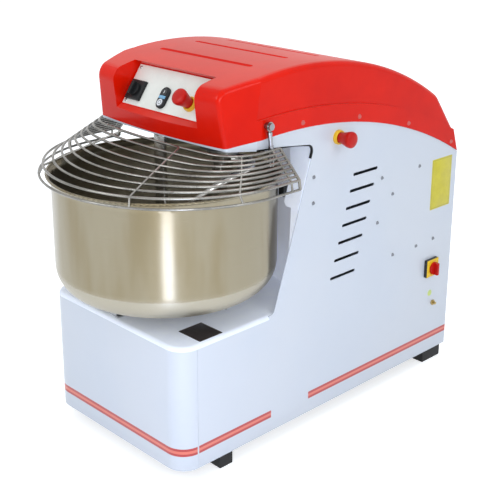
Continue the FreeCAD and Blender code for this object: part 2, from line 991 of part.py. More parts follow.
def plate_screws():
    pieces = []
    for x, up in plate_corners():
        point = Vector(x, up, plate_thickness)
        pieces.append(on_plate(screw(point, Vector(0, 0, 1), plate_screw, plate_thickness - screw_clearance)))
    return group(pieces)


def selector_base():
    side = selector_side / 2
    base = block(-side, side, -side, side, 0, selector_rise)
    rim = [e for e in base.Edges if e.BoundBox.ZMin > selector_rise - near]
    base = base.makeChamfer(selector_rise / 4, rim)
    base = base.fuse(disc(estop_shank / 2, 0, 0, -fitting_depth, 1))
    base = base.cut(disc(knob_stem / 2 + fit, 0, 0, -fitting_depth / 2, selector_rise + over))
    return on_plate(moved(base, selector_x, selector_up, plate_thickness))


def grip_knob(radius, height, rise):
    # round skirt with a bar grip across it and a stem below
    skirt = disc(radius, 0, 0, rise + seam, rise + seam + height / 3)
    long = radius - knob_grip_inset
    bar = block(-knob_grip_width / 2, knob_grip_width / 2, -long, long, rise + seam, rise + height)
    stem = disc(knob_stem / 2, 0, 0, -fitting_depth / 2 + seam, rise + height / 4)
    top = [e for e in bar.Edges if e.BoundBox.ZMin > rise + height - near]
    bar = bar.makeChamfer(knob_edge, top)
    return skirt.multiFuse([bar, stem]).removeSplitter()


def selector_knob():
    knob = grip_knob(selector_knob_radius, selector_knob_height, selector_rise)
    return on_plate(moved(knob, selector_x, selector_up, plate_thickness))


def button_housing():
    housing = oval(button_width, button_height, 0, button_rise)
    rim = [e for e in housing.Edges if e.BoundBox.ZMin > button_rise - near]
    housing = housing.makeChamfer(button_rise / 5, rim)
    housing = housing.fuse(oval(button_body, button_body_height, -fitting_depth, 1)).removeSplitter()
    for place in (-button_spread, button_spread):
        well = disc(button_radius + fit, 0, place, -button_well, button_rise + over)
        stem = disc(button_stem / 2 + fit, 0, place, -fitting_depth - over, 0)
        housing = housing.cut(well).cut(stem)
    return on_plate(moved(housing.cut(lens_block(fit)), button_x, button_up, plate_thickness))


def push_button(place):
    top = button_rise + button_stand
    cap = disc(button_radius, 0, place, top - button_cap, top)
    rim = [e for e in cap.Edges if e.BoundBox.ZMin > top - near]
    cap = cap.makeFillet(button_edge, rim)
    stem = disc(button_stem / 2, 0, place, -fitting_depth + button_cap, top - over)
    return on_plate(moved(cap.fuse(stem), button_x, button_up, plate_thickness))


def lens_block(grow):
    wide = lens_width / 2 + grow
    high = lens_height / 2 + grow
    return block(-wide, wide, -high, high, button_rise / 3, button_rise + over)


def pilot_lens():
    lens = lens_block(0)
    rim = [e for e in lens.Edges if e.BoundBox.ZMin > button_rise + 0.9]
    return on_plate(moved(lens.makeFillet(lens_edge, rim), button_x, button_up, plate_thickness))


def estop_base():
    base = Part.makeCone(estop_collar / 2, estop_collar / 2 - 2, estop_rise)
    base = base.fuse(disc(estop_shank / 2, 0, 0, -fitting_depth, 1))
    return base.cut(disc(estop_neck / 2 + fit, 0, 0, -fitting_depth / 2 - estop_travel, estop_rise + over))


def estop_button():
    # mushroom head with its neck
    low = estop_rise + estop_travel + 2
    radius = estop_head / 2
    rim = low + estop_rim
    head = disc(radius, 0, 0, low, rim)
    dome = (radius**2 + estop_dome**2) / (2 * estop_dome)
    ball = Part.makeSphere(dome, Vector(0, 0, rim + estop_dome - dome))
    head = head.fuse(ball.common(disc(radius, 0, 0, rim, rim + estop_dome + over)))
    stem = disc(estop_neck / 2, 0, 0, -fitting_depth / 2, low + over)
    button = head.fuse(stem).removeSplitter()
    edge = [e for e in button.Edges if e.BoundBox.XLength > estop_head - 1 and e.BoundBox.ZLength < near]
    return button.makeFillet(estop_edge, edge)


def front_estop(shape):
    return on_plate(moved(shape, front_estop_x, front_estop_up, plate_thickness))


def side_estop(shape):
    return on_right_side(shape, side_estop_y, side_estop_z)


def main_switch_housing():
    side = switch_plate / 2
    base = block(-side, side, -side, side, 0, switch_rise)
    rim = [e for e in base.Edges if e.BoundBox.ZMin > switch_rise - near]
    base = base.makeChamfer(switch_rise / 5, rim)
    base = base.fuse(disc(estop_shank / 2, 0, 0, -fitting_depth, 1))
    base = base.cut(disc(knob_stem / 2 + fit, 0, 0, -fitting_depth / 2, switch_rise + over))
    return on_right_side(base, switch_y, switch_z)


def main_switch_knob():
    return on_right_side(grip_knob(switch_knob_radius, switch_knob_height, switch_rise), switch_y, switch_z)


def earth_stud():
    stud = Part.makeCylinder(earth_stud_size / 2, 5 * earth_stud_size / 2, Vector(0, 0, -earth_stud_size))
    nut = hexagon(earth_stud_size, 0, earth_nut_height)
    return on_right_side(stud.fuse(nut), earth_y, earth_z)


def hexagon(radius, z0, z1):
    corners = [Vector(radius * math.cos(math.radians(a)), radius * math.sin(math.radians(a)), z0)
               for a in range(0, 360, 60)]
    return polygon(corners).extrude(Vector(0, 0, z1 - z0))


def guard_switch():
    y = throat_y(guard_switch_z)
    high = guard_switch_z + guard_switch_height / 2
    low = guard_switch_z - guard_switch_height / 2
    x1 = cheek_in - seam
    return block(x1 - guard_switch_width, x1, y - guard_switch_depth, y + guard_switch_depth / 2, low, high)


def electrical_box():
    back = frame_back() - rail
    box = block(box_in, rail_out - rail_wall, back - box_depth, back, box_low, box_high)
    upright = [e for e in box.Edges if is_upright(e)]
    box = box.makeFillet(box_round, upright[:1] + upright[1:2])
    return box


# ---------------------------------------------------------------- bowl

def bowl():
    # deep drawn bowl: flat bottom, round corner, straight wall, flared lip with a rolled bead
    outer = bowl_profile(0)
    inner = bowl_profile(bowl_wall)
    shell = outer.cut(inner)
    bead_radius = bowl_rim_radius - bowl_bead / 2
    bead = Part.makeTorus(bead_radius, bowl_bead / 2, Vector(0, bowl_y, bowl_rim_height - bowl_bead / 2))
    shell = shell.fuse(bead)
    return shell


def bowl_profile(inset):
    low = bowl_bottom + inset
    wall = bowl_radius - inset
    corner = bowl_corner - inset
    flare_z = bowl_rim_height - bowl_flare - bowl_bead / 2
    lip = bowl_rim_radius - bowl_bead / 2 + bowl_wall / 2 - inset
    top = bowl_rim_height - bowl_bead / 2
    turn = math.sqrt(0.5)
    knee = Vector(wall - corner + corner * turn, 0, low + corner - corner * turn)
    flare_radius = ((lip - wall) ** 2 + bowl_flare**2) / (2 * (lip - wall))
    bend = math.atan2(bowl_flare, flare_radius - lip + wall) / 2
    flare_middle = Vector(wall + flare_radius * (1 - math.cos(bend)), 0, flare_z + flare_radius * math.sin(bend))
    points = [
        Vector(0, 0, low),
        Vector(wall - corner, 0, low),
        Vector(wall, 0, low + corner),
        Vector(wall, 0, flare_z),
        Vector(lip, 0, top),
        Vector(0, 0, top),
    ]
    edges = [
        Part.makeLine(points[0], points[1]),
        Part.Arc(points[1], knee, points[2]).toShape(),
        Part.makeLine(points[2], points[3]),
        Part.Arc(points[3], flare_middle, points[4]).toShape(),
        Part.makeLine(points[4], points[5]),
        Part.makeLine(points[5], points[0]),
    ]
    solid = Part.Face(Part.Wire(edges)).revolve(Vector(0, 0, 0), Vector(0, 0, 1), 360)
    solid.translate(Vector(0, bowl_y, 0))
    return solid


def bowl_hub():
    low = bowl_pulley_z - seam
    shaft = disc(bowl_shaft / 2, 0, bowl_y, low, bowl_bottom)
    flange = disc(hub_diameter / 2, 0, bowl_y, bowl_bottom - hub_thickness, bowl_bottom)
    return shaft.fuse(flange).removeSplitter()


def bearing(outer, inner, width, x, y, z):
    # sealed ball bearing: the seals lie a little below the races
    race = (outer - inner) / 8
    body = ring(outer / 2 - fit, inner / 2 + fit, x, y, z, z + width)
    recess = ring(outer / 2 - race, inner / 2 + race, x, y, z - over, z + width / 12)
    return body.cut(recess).cut(moved(recess, 0, 0, width + 1 - width / 12))


def bowl_bearing_housing():
    low = bearing_bridge_z + bridge_plate
    top = low + bowl_housing_height
    body = disc(bowl_housing_diameter / 2, 0, bowl_y, low, top)
    flange = disc(bowl_housing_flange / 2, 0, bowl_y, low, low + bridge_plate)
    neck = disc(bowl_housing_neck / 2, 0, bowl_y, top, top + bowl_neck_height)
    body = body.multiFuse([flange, neck]).removeSplitter()
    body = body.cut(disc(bowl_bearing_outer / 2, 0, bowl_y, low - over, top - bowl_neck_height / 2))
    body = body.cut(disc(bowl_shaft / 2 + 2, 0, bowl_y, low, top + bowl_neck_height + over))
    bolt_ring = (bowl_housing_diameter + bowl_housing_flange) / 4
    for place in range(6):
        angle = math.radians(60 * place)
        x = bolt_ring * math.cos(angle)
        y = bowl_y + bolt_ring * math.sin(angle)
        body = body.cut(disc(cover_screw / 2 + screw_clearance, x, y, low - over, low + bridge_plate + over))
    return body


def bowl_bearings():
    low = bearing_bridge_z + bridge_plate
    high = low + bowl_housing_height - bowl_neck_height / 2 - bowl_bearing_width
    places = (low, high)
    return group([bearing(bowl_bearing_outer, bowl_shaft, bowl_bearing_width, 0, bowl_y, z) for z in places])


# ---------------------------------------------------------------- pulleys and belts

def groove_places_z(z, width):
    pitch = width / 2
    return [z + pitch * (place + 0.5) for place in range(2)]


def groove_section(radius, z, gap):
    # wedge that points to the axis
    wide = belt_width / 2 + gap
    narrow = belt_width / 4 + gap
    deep = radius - belt_depth - gap
    return [
        Vector(radius + gap, 0, z - wide),
        Vector(radius + gap, 0, z + wide),
        Vector(deep, 0, z + narrow),
        Vector(deep, 0, z - narrow),
    ]


def pulley(radius, bore, x, y, z, width):
    body = ring(radius, bore / 2 + fit, 0, 0, z, z + width)
    for groove_z in groove_places_z(z, width):
        face = polygon(groove_section(radius, groove_z, belt_gap))
        body = body.cut(face.revolve(Vector(0, 0, 0), Vector(0, 0, 1), 360))
    hub = bore
    rim = radius - belt_depth - pulley_rim_wall
    if rim > hub + hub / 2:
        for z0, z1 in ((z - over, z + width / 3), (z + width * 2 / 3, z + width + over)):
            body = body.cut(ring(rim, hub, 0, 0, z0, z1))
        hole_ring = (rim + hub) / 2
        for place in range(6):
            angle = math.radians(60 * place)
            hole_x = hole_ring * math.cos(angle)
            hole_y = hole_ring * math.sin(angle)
            body = body.cut(disc((rim - hub) / 4, hole_x, hole_y, z, z + width))
    return moved(body, x, y, 0)


def loop_wire(first, first_radius, second, second_radius):
    # closed line round two circles that lie in one level plane
    run = second.sub(first)
    angle = math.atan2(run.y, run.x)
    spread = math.acos((first_radius - second_radius) / run.Length)
    def spot(centre, radius, turn):
        return centre.add(Vector(radius * math.cos(turn), radius * math.sin(turn), 0))
    a = spot(first, first_radius, angle + spread)
    b = spot(second, second_radius, angle + spread)
    c = spot(second, second_radius, angle - spread)
    d = spot(first, first_radius, angle - spread)
    return Part.Wire([
        Part.makeLine(a, b),
        Part.Arc(b, spot(second, second_radius, angle), c).toShape(),
        Part.makeLine(c, d),
        Part.Arc(d, spot(first, first_radius, angle + math.pi), a).toShape(),
    ])


def belts(first, first_radius, second, second_radius, z, width):
    # one V-belt in each pair of grooves: the wedge section is carried round the loop
    pieces = []
    run = Vector(second[0] - first[0], second[1] - first[1], 0)
    angle = math.atan2(run.y, run.x) + math.acos((first_radius - second_radius) / run.Length)
    outward = Vector(math.cos(angle), math.sin(angle), 0)
    for level in groove_places_z(z, width):
        start = Vector(first[0], first[1], level)
        path = loop_wire(start, first_radius, Vector(second[0], second[1], level), second_radius)
        corner = start.add(Vector(outward).multiply(first_radius))
        wide = belt_width / 2
        narrow = belt_width / 4
        section = [(0, -wide), (0, wide), (-belt_depth, narrow), (-belt_depth, -narrow)]
        points = [corner.add(Vector(outward).multiply(deep)).add(Vector(0, 0, up)) for deep, up in section]
        profile = Part.makePolygon([*points, points[0]])
        pieces.append(path.makePipeShell([profile], True, False))
    return pieces


def bowl_pulley():
    return pulley(bowl_pulley_radius, bowl_shaft, 0, bowl_y, bowl_pulley_z, bowl_pulley_width)


def bowl_drive_pulley():
    return pulley(bowl_drive_radius, gearmotor_shaft, 0, gearmotor_y, bowl_pulley_z, bowl_pulley_width)


def bowl_drive_shaft():
    top = gearmotor_bridge_z + bridge_plate + gearbox_height / 2
    return disc(gearmotor_shaft / 2, 0, gearmotor_y, bowl_pulley_z - seam, top - seam)


def bowl_gearmotor():
    # square gearbox with a finned round motor on top
    low = gearmotor_bridge_z + bridge_plate
    side = gearbox_side / 2
    box = block(-side, side, gearmotor_y - side, gearmotor_y + side, low, low + gearbox_height)
    box = box.makeFillet(bridge_plate, [e for e in box.Edges if is_upright(e)])
    motor = finned_motor(gearmotor_diameter, gearmotor_length, low + gearbox_height, gearmotor_y)
    body = box.fuse(motor)
    return body.cut(disc(gearmotor_shaft / 2 + fit, 0, gearmotor_y, low - over, low + gearbox_height / 2))


def finned_motor(diameter, length, z, y):
    core = disc(diameter / 2 - fin_depth, 0, y, z, z + length)
    cap = disc(diameter / 2, 0, y, z + length - fin_depth * 2, z + length)
    foot = disc(diameter / 2, 0, y, z, z + fin_depth * 2)
    fins = []
    for place in range(fin_count):
        fin = block(-fin_width / 2, fin_width / 2, -diameter / 2, diameter / 2, z, z + length - over)
        fin.rotate(Vector(0, 0, 0), Vector(0, 0, 1), place * 180 / fin_count)
        fins.append(moved(fin, 0, y, 0))
    return core.multiFuse([cap, foot, *fins]).removeSplitter()


# ---------------------------------------------------------------- spiral drive

def motor_pulley():
    return pulley(motor_pulley_radius, motor_shaft, 0, motor_y, low_pulley_z, low_pulley_width)


def drive_shaft():
    top = motor_bridge_z + bridge_plate + motor_shaft_seat
    return disc(motor_shaft / 2, 0, motor_y, low_pulley_z - seam, top - seam)


def spiral_motor():
    low = motor_bridge_z + bridge_plate
    motor = finned_motor(motor_diameter, motor_length, low, motor_y)
    terminal = motor_diameter / 2
    front = motor_y - terminal - terminal_box
    third = motor_length / 3
    box = block(-terminal / 2, terminal / 2, front, motor_y, low + third, low + 2 * third)
    motor = motor.fuse(box)
    return motor.cut(disc(motor_shaft / 2 + fit, 0, motor_y, low - over, low + motor_shaft_seat))


def countershaft():
    low = counter_bridge_z + bridge_plate
    return disc(counter_shaft / 2, 0, counter_y, low, top_pulley_z + top_pulley_width + seam)


def counter_big_pulley():
    return pulley(counter_big_radius, counter_shaft, 0, counter_y, low_pulley_z, low_pulley_width)


def counter_small_pulley():
    return pulley(counter_small_radius, counter_shaft, 0, counter_y, top_pulley_z, top_pulley_width)


def flange_housing(outer, bore, shaft, x, y, low, high, flange_low):
    # round housing with a flange at one end; the bore holds bearings and leaves the shaft free
    body = disc(outer / 2, x, y, low, high)
    flange = disc(outer / 2 + flange_edge, x, y, flange_low, flange_low + bridge_plate / 2)
    body = body.fuse(flange).removeSplitter()
    body = body.cut(disc(bore / 2, x, y, low + housing_lip, high + over))
    return body.cut(disc(shaft / 2 + 2, x, y, low - over, high))


def counter_housings():
    low = counter_bridge_z + bridge_plate
    lower = flange_housing(counter_housing, counter_bearing, counter_shaft, 0, counter_y, low,
                           low + counter_bearing_width + housing_lip, low)
    high = head_plate_z
    upper = flange_housing(counter_housing, counter_bearing, counter_shaft, 0, counter_y,
                           high - counter_bearing_width - housing_lip, high, high - bridge_plate / 2)
    return group([lower, upper])


def counter_bearings():
    low = counter_bridge_z + bridge_plate + housing_lip
    places = (low, head_plate_z - counter_bearing_width)
    sizes = (counter_bearing, counter_shaft, counter_bearing_width)
    return group([bearing(*sizes, 0, counter_y, z) for z in places])


def spiral_housing_low():
    return head_plate_z - 2 * spiral_bearing_width - bearing_spacer - housing_lip


def spiral_bearing_housing():
    flange_low = head_plate_z - bridge_plate / 2
    sizes = (spiral_housing, spiral_bearing, spiral_shaft)
    return flange_housing(*sizes, spiral_x, spiral_y, spiral_housing_low(), head_plate_z, flange_low)


def spiral_bearings():
    low = spiral_housing_low() + housing_lip
    places = (low, head_plate_z - spiral_bearing_width)
    sizes = (spiral_bearing, spiral_shaft, spiral_bearing_width)
    return group([bearing(*sizes, spiral_x, spiral_y, z) for z in places])


def spiral_shaft_piece():
    flange_top = spiral_housing_low() - seam
    shaft = disc(spiral_shaft / 2, spiral_x, spiral_y, flange_top - over, top_pulley_z + top_pulley_width + seam)
    flange = disc(hook_flange / 2, spiral_x, spiral_y, flange_top - hook_flange_thickness, flange_top)
    return shaft.fuse(flange).removeSplitter()


def spiral_pulley():
    return pulley(spiral_pulley_radius, spiral_shaft, spiral_x, spiral_y, top_pulley_z, top_pulley_width)


def drive_belts():
    # two belts each from the gearmotor to the bowl, the motor to the countershaft and on to the spiral
    bowl_axis, gearmotor_axis = (0, bowl_y), (0, gearmotor_y)
    counter_axis, motor_axis, spiral_axis = (0, counter_y), (0, motor_y), (spiral_x, spiral_y)
    runs = (
        (bowl_axis, bowl_pulley_radius, gearmotor_axis, bowl_drive_radius, bowl_pulley_z, bowl_pulley_width),
        (counter_axis, counter_big_radius, motor_axis, motor_pulley_radius, low_pulley_z, low_pulley_width),
        (spiral_axis, spiral_pulley_radius, counter_axis, counter_small_radius, top_pulley_z,
         top_pulley_width),
    )
    pieces = []
    for run in runs:
        pieces += belts(*run)
    return group(pieces)


def hook_point(radius, angle, z):
    turn = math.radians(angle)
    return Vector(spiral_x + radius * math.cos(turn), spiral_y + radius * math.sin(turn), z)


def spiral_hook():
    # a bar that leaves the hub, runs down part of a helix, narrowing as the bowl's corner does, and ends
    # in a tail over the bowl's floor
    flange_low = spiral_housing_low() - seam - 2 * hook_flange_thickness
    boss_low = hook_high_z - hook_bar / 2
    arm_z = flange_low - hook_bar / 2 - 2
    drop = hook_high_z - hook_low_z
    sweep = 360 * drop / hook_pitch
    steps = round(sweep / hook_step)
    points = [hook_point(0, 0, arm_z)]
    for radius, ahead, fall in hook_arm:
        points.append(hook_point(radius, hook_high_angle + ahead, arm_z - fall))
    for place in range(steps + 1):
        share = place / steps
        radius = hook_radius - (hook_radius - hook_low_radius) * share
        points.append(hook_point(radius, hook_high_angle - sweep * share, hook_high_z - drop * share))
    for radius, behind in hook_tail:
        points.append(hook_point(radius, hook_high_angle - sweep - behind, hook_low_z - hook_tail_drop))
    bar = sweep_round(round_path(points, hook_bend_share), hook_bar / 2)
    end = Part.makeSphere(hook_bar / 2, points[-1])
    boss = disc(hook_bar, spiral_x, spiral_y, boss_low, flange_low + over)
    flange = disc(hook_flange / 2, spiral_x, spiral_y, flange_low, flange_low + hook_flange_thickness)
    return bar.multiFuse([end, boss, flange]).removeSplitter()


def breaker_bar():
    low = bowl_bottom + bowl_wall + bar_floor_gap
    bar = disc(bar_diameter / 2, bar_x, bar_y, low, head_plate_z)
    bar = bar.makeFillet(bar_end_round, [e for e in bar.Edges if e.BoundBox.ZMax < low + 1])
    bar = bar.fuse(disc(bar_stud / 2, bar_x, bar_y, head_plate_z - over, head_plate_top + bar_nut + 2))
    return group([bar.removeSplitter(), bar_lock_nut()])


def bar_lock_nut():
    nut = moved(hexagon(bar_nut_radius, head_plate_top, head_plate_top + bar_nut), bar_x, bar_y, 0)
    return nut.cut(disc(bar_stud / 2 + fit, bar_x, bar_y, head_plate_top - over, head_plate_top + bar_nut + over))


# ---------------------------------------------------------------- bowl rollers

def roller_axis_z():
    return bowl_bottom - roller_gap - roller_diameter / 2


def on_ring(shape, angle):
    # from a roller's own axes (x outward from the bowl's axis) to its place on the deck
    placed = shape.copy()
    placed.rotate(Vector(0, 0, 0), Vector(0, 0, 1), angle)
    placed.translate(Vector(0, bowl_y, 0))
    return placed


def roller_bracket():
    inner = roller_ring - roller_width / 2 - roller_side_gap - bracket_sheet
    outer = roller_ring + roller_width / 2 + roller_side_gap + bracket_sheet
    wide = bracket_ear / 2
    base = block(inner, outer, -bracket_base / 2, bracket_base / 2, deck_height, deck_height + bracket_sheet)
    ears = [block(x, x + bracket_sheet, -wide, wide, deck_height, roller_ear_top)
            for x in (inner, outer - bracket_sheet)]
    bracket = base.multiFuse(ears).removeSplitter()
    top = [e for e in bracket.Edges if e.BoundBox.ZMin > roller_ear_top - near or is_ear_edge(e, wide)]
    top = [e for e in top if e.BoundBox.XLength > bracket_sheet - 0.1 and e.BoundBox.YLength < near]
    bracket = bracket.makeFillet(bracket_ear_round, top)
    return bracket.cut(across(roller_pin / 2 + fit, 0, roller_axis_z(), inner - over, outer + over))


def is_ear_edge(edge, wide):
    return abs(abs(edge.BoundBox.Center.y) - wide) < near and edge.BoundBox.ZMin > roller_ear_top - near


def roller_brackets():
    # each bracket with the pin that its roller turns on
    inner = roller_ring - roller_width / 2 - roller_side_gap - 2 * bracket_sheet
    outer = roller_ring + roller_width / 2 + roller_side_gap + 2 * bracket_sheet
    pin = across(roller_pin / 2, 0, roller_axis_z(), inner, outer)
    return group([on_ring(piece, angle) for angle in roller_angles for piece in (roller_bracket(), pin)])


def bowl_roller(angle):
    low = roller_ring - roller_width / 2
    roller = across(roller_diameter / 2, 0, roller_axis_z(), low, low + roller_width)
    rims = [e for e in roller.Edges if e.BoundBox.YLength > roller_pin]
    roller = roller.makeChamfer(roller_width / 10, rims)
    roller = roller.cut(across(roller_pin / 2 + fit, 0, roller_axis_z(), low - over, low + roller_width + over))
    return on_ring(roller, angle)


# ---------------------------------------------------------------- wire guard

def guard_ring_size(place):
    # height, half width and front of one ring; the lowest lies round the bowl's lip
    if place == 0:
        return guard_rim_z, guard_rim_half, guard_rim_front
    step = place - 1
    return (
        guard_first_z + step * guard_rise,
        guard_first_half - step * guard_step_half,
        guard_first_front + step * guard_step_front,
    )


def guard_side_start(place):
    # where the straight side of a ring begins; the low rings are deep, so theirs begins further forward
    z, wide, front = guard_ring_size(place)
    return min(guard_side_y, front + guard_front_share * wide)


def guard_arcs(place):
    # corner radius, front radius and the angle at which the two arcs meet
    z, wide, front = guard_ring_size(place)
    reach = guard_side_start(place) - front
    corner = guard_corner_share * reach
    bow = ((wide - corner) ** 2 + reach**2 - corner**2) / (2 * (reach - corner))
    return corner, bow, math.atan2(wide - corner, bow - reach)


def guard_ring_wire_path(place):
    z, wide, front = guard_ring_size(place)
    right = guard_path_half(place)
    side = [Part.makeLine(right[0], right[1]), Part.Arc(right[1], right[2], right[3]).toShape()]
    nose = Part.Arc(right[3], Vector(0, front, z), mirror_point(right[3])).toShape()
    other = [
        Part.Arc(mirror_point(right[3]), mirror_point(right[2]), mirror_point(right[1])).toShape(),
        Part.makeLine(mirror_point(right[1]), mirror_point(right[0])),
    ]
    return Part.Wire([*side, nose, *other])


def guard_path_half(place):
    # points along the right half: rear end, end of the straight side, middle of the corner, end of the corner
    z, wide, front = guard_ring_size(place)
    corner, bow, meet = guard_arcs(place)
    centre = Vector(wide - corner, guard_side_start(place), z)
    middle = (math.pi / 2 - meet) / 2
    return [
        Vector(wide, guard_end_y, z),
        Vector(wide, guard_side_start(place), z),
        centre.add(Vector(corner * math.cos(middle), -corner * math.sin(middle), 0)),
        centre.add(Vector(corner * math.sin(meet), -corner * math.cos(meet), 0)),
    ]


def mirror_point(point):
    return Vector(-point.x, point.y, point.z)


def guard_point(place, x):
    # the point of a ring at a distance x from the middle, in its curved part
    z, wide, front = guard_ring_size(place)
    corner, bow, meet = guard_arcs(place)
    if x <= bow * math.sin(meet):
        return Vector(x, front + bow - math.sqrt(bow**2 - x**2), z)
    return Vector(x, guard_side_start(place) - math.sqrt(corner**2 - (x - wide + corner) ** 2), z)


def wire_run(points, radius):
    rods = [rod(radius, a, b) for a, b in zip(points, points[1:])]
    joints = [Part.makeSphere(radius, point) for point in points[1:-1]]
    return rods + joints


def guard_radials():
    # distances from the middle at the lowest and at the highest ring
    side = (guard_rim_half - guard_side_radial_in, guard_top_half - guard_side_radial_in)
    return guard_middle_radial, side


def guard_radial(low_x, high_x):
    last = guard_rings
    places = (0, 1, (1 + last) // 2, last)
    points = [guard_point(place, low_x + (high_x - low_x) * place / last) for place in places]
    return wire_run(points, guard_radial_wire / 2)


def guard_side_points(y):
    places = (0, 1, guard_rings)
    return [Vector(guard_ring_size(place)[1], y, guard_ring_size(place)[0]) for place in places]


def guard_arm():
    # side rod, sleeve and the flat eye on the pivot bolt
    rods = wire_run(guard_side_points(guard_arm_y), guard_radial_wire / 2)
    high = guard_top_z + guard_ring_wire / 2
    sleeve = disc(guard_sleeve / 2, guard_arm_x, guard_arm_y, high - guard_sleeve_length, high)
    top = Vector(guard_arm_x, guard_pivot_y, guard_pivot_z - guard_eye / 2 + over)
    arm = rod(guard_ring_wire / 2, Vector(guard_arm_x, guard_arm_y, high - over), top)
    x0 = guard_arm_x - guard_eye_width / 2
    eye = across(guard_eye / 2, guard_pivot_y, guard_pivot_z, x0, x0 + guard_eye_width)
    return [*rods, sleeve, arm, eye]


def guard():
    paths = [guard_ring_wire_path(place) for place in range(guard_rings + 1)]
    wires = [sweep_round(path, guard_ring_wire / 2) for path in paths]
    side = []
    for low_x, high_x in guard_radials():
        side += guard_radial(low_x, high_x)
    side += wire_run(guard_side_points(guard_end_y), guard_end_wire / 2)
    side += guard_arm()
    for piece in side:
        wires += both_sides(piece)
    cage = wires[0].multiFuse(wires[1:])
    return cage.cut(across(guard_bolt / 2 + fit, guard_pivot_y, guard_pivot_z, -body_width, body_width))


def guard_bolts():
    # shoulder bolts on which the guard turns, with a spacer against the skirt
    x0 = guard_arm_x - guard_eye_width / 2
    x1 = x0 + guard_eye_width
    shank = across(guard_bolt / 2, guard_pivot_y, guard_pivot_z, half - 2 * cover_wall, x1 + over)
    spacer = across(guard_bolt, guard_pivot_y, guard_pivot_z, half + skirt_proud, x0 - seam)
    head = across(guard_bolt, guard_pivot_y, guard_pivot_z, x1 + seam, x1 + seam + guard_bolt_head)
    bolt = shank.multiFuse([spacer, head]).removeSplitter()
    return group(both_sides(bolt))


# ---------------------------------------------------------------- all pieces

pieces = {
    "base_frame": base_frame,
    "rubber_feet": rubber_feet,
    "front_panel": front_panel,
    "deck_plate": deck_plate,
    "right_side_panel": right_side_panel,
    "left_side_panel": lambda: mirrored(side_panel()),
    "rear_panel": rear_panel,
    "throat_wall": throat_wall,
    "throat_cheeks": throat_cheeks,
    "head_underside": head_underside,
    "head_plate": head_plate,
    "head_cover": head_cover,
    "body_screws": body_screws,
    "control_plate": control_plate,
    "plate_screws": plate_screws,
    "selector_base": selector_base,
    "selector_knob": selector_knob,
    "button_housing": button_housing,
    "start_button": lambda: push_button(button_spread),
    "stop_button": lambda: push_button(-button_spread),
    "pilot_lens": pilot_lens,
    "front_estop_base": lambda: front_estop(estop_base()),
    "front_estop_button": lambda: front_estop(estop_button()),
    "side_estop_base": lambda: side_estop(estop_base()),
    "side_estop_button": lambda: side_estop(estop_button()),
    "main_switch_housing": main_switch_housing,
    "main_switch_knob": main_switch_knob,
    "earth_stud": earth_stud,
    "guard_switch": guard_switch,
    "electrical_box": electrical_box,
    "bowl": bowl,
    "bowl_hub": bowl_hub,
    "drive_bridges": drive_bridges,
    "bowl_bearing_housing": bowl_bearing_housing,
    "bowl_bearings": bowl_bearings,
    "bowl_pulley": bowl_pulley,
    "drive_belts": drive_belts,
    "bowl_drive_pulley": bowl_drive_pulley,
    "bowl_drive_shaft": bowl_drive_shaft,
    "bowl_gearmotor": bowl_gearmotor,
    "spiral_motor": spiral_motor,
    "motor_shaft": drive_shaft,
    "motor_pulley": motor_pulley,
    "countershaft": countershaft,
    "countershaft_housings": counter_housings,
    "countershaft_bearings": counter_bearings,
    "countershaft_low_pulley": counter_big_pulley,
    "countershaft_top_pulley": counter_small_pulley,
    "spiral_pulley": spiral_pulley,
    "spiral_shaft": spiral_shaft_piece,
    "spiral_bearing_housing": spiral_bearing_housing,
    "spiral_bearings": spiral_bearings,
    "spiral_hook": spiral_hook,
    "breaker_bar": breaker_bar,
    "roller_brackets": roller_brackets,
    "bowl_roller_1": lambda: bowl_roller(roller_angles[0]),
    "bowl_roller_2": lambda: bowl_roller(roller_angles[1]),
    "bowl_roller_3": lambda: bowl_roller(roller_angles[2]),
    "guard": guard,
    "guard_bolts": guard_bolts,
}

for name, make in pieces.items():
    save(name, make())
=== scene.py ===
import math

import bmesh
import bpy
from mathutils import Matrix, Vector


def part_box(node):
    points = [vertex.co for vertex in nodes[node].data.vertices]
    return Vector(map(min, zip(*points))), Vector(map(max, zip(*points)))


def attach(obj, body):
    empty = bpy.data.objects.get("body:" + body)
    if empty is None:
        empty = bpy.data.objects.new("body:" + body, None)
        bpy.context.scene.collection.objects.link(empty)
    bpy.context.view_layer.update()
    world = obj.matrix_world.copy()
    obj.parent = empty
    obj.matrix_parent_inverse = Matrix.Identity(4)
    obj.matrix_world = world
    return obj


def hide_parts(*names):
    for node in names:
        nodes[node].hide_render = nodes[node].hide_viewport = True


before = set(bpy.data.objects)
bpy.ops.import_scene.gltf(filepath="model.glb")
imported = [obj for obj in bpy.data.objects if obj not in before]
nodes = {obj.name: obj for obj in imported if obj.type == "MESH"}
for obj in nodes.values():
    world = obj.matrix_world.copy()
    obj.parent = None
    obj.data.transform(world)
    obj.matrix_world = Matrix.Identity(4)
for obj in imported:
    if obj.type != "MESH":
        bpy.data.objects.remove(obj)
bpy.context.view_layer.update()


class Wire:
    # one output of a node, with arithmetic

    def __init__(self, graph, socket):
        self.graph = graph
        self.socket = socket

    def maths(self, operation, *others):
        return self.graph.node("Math", {"operation": operation}, dict(enumerate([self, *others])))

    def __add__(self, other):
        return self.maths("ADD", other)

    def __radd__(self, other):
        return self.maths("ADD", other)

    def __sub__(self, other):
        return self.maths("SUBTRACT", other)

    def __rsub__(self, other):
        return self.graph.node("Math", {"operation": "SUBTRACT"}, {0: other, 1: self})

    def __mul__(self, other):
        return self.maths("MULTIPLY", other)

    def __rmul__(self, other):
        return self.maths("MULTIPLY", other)


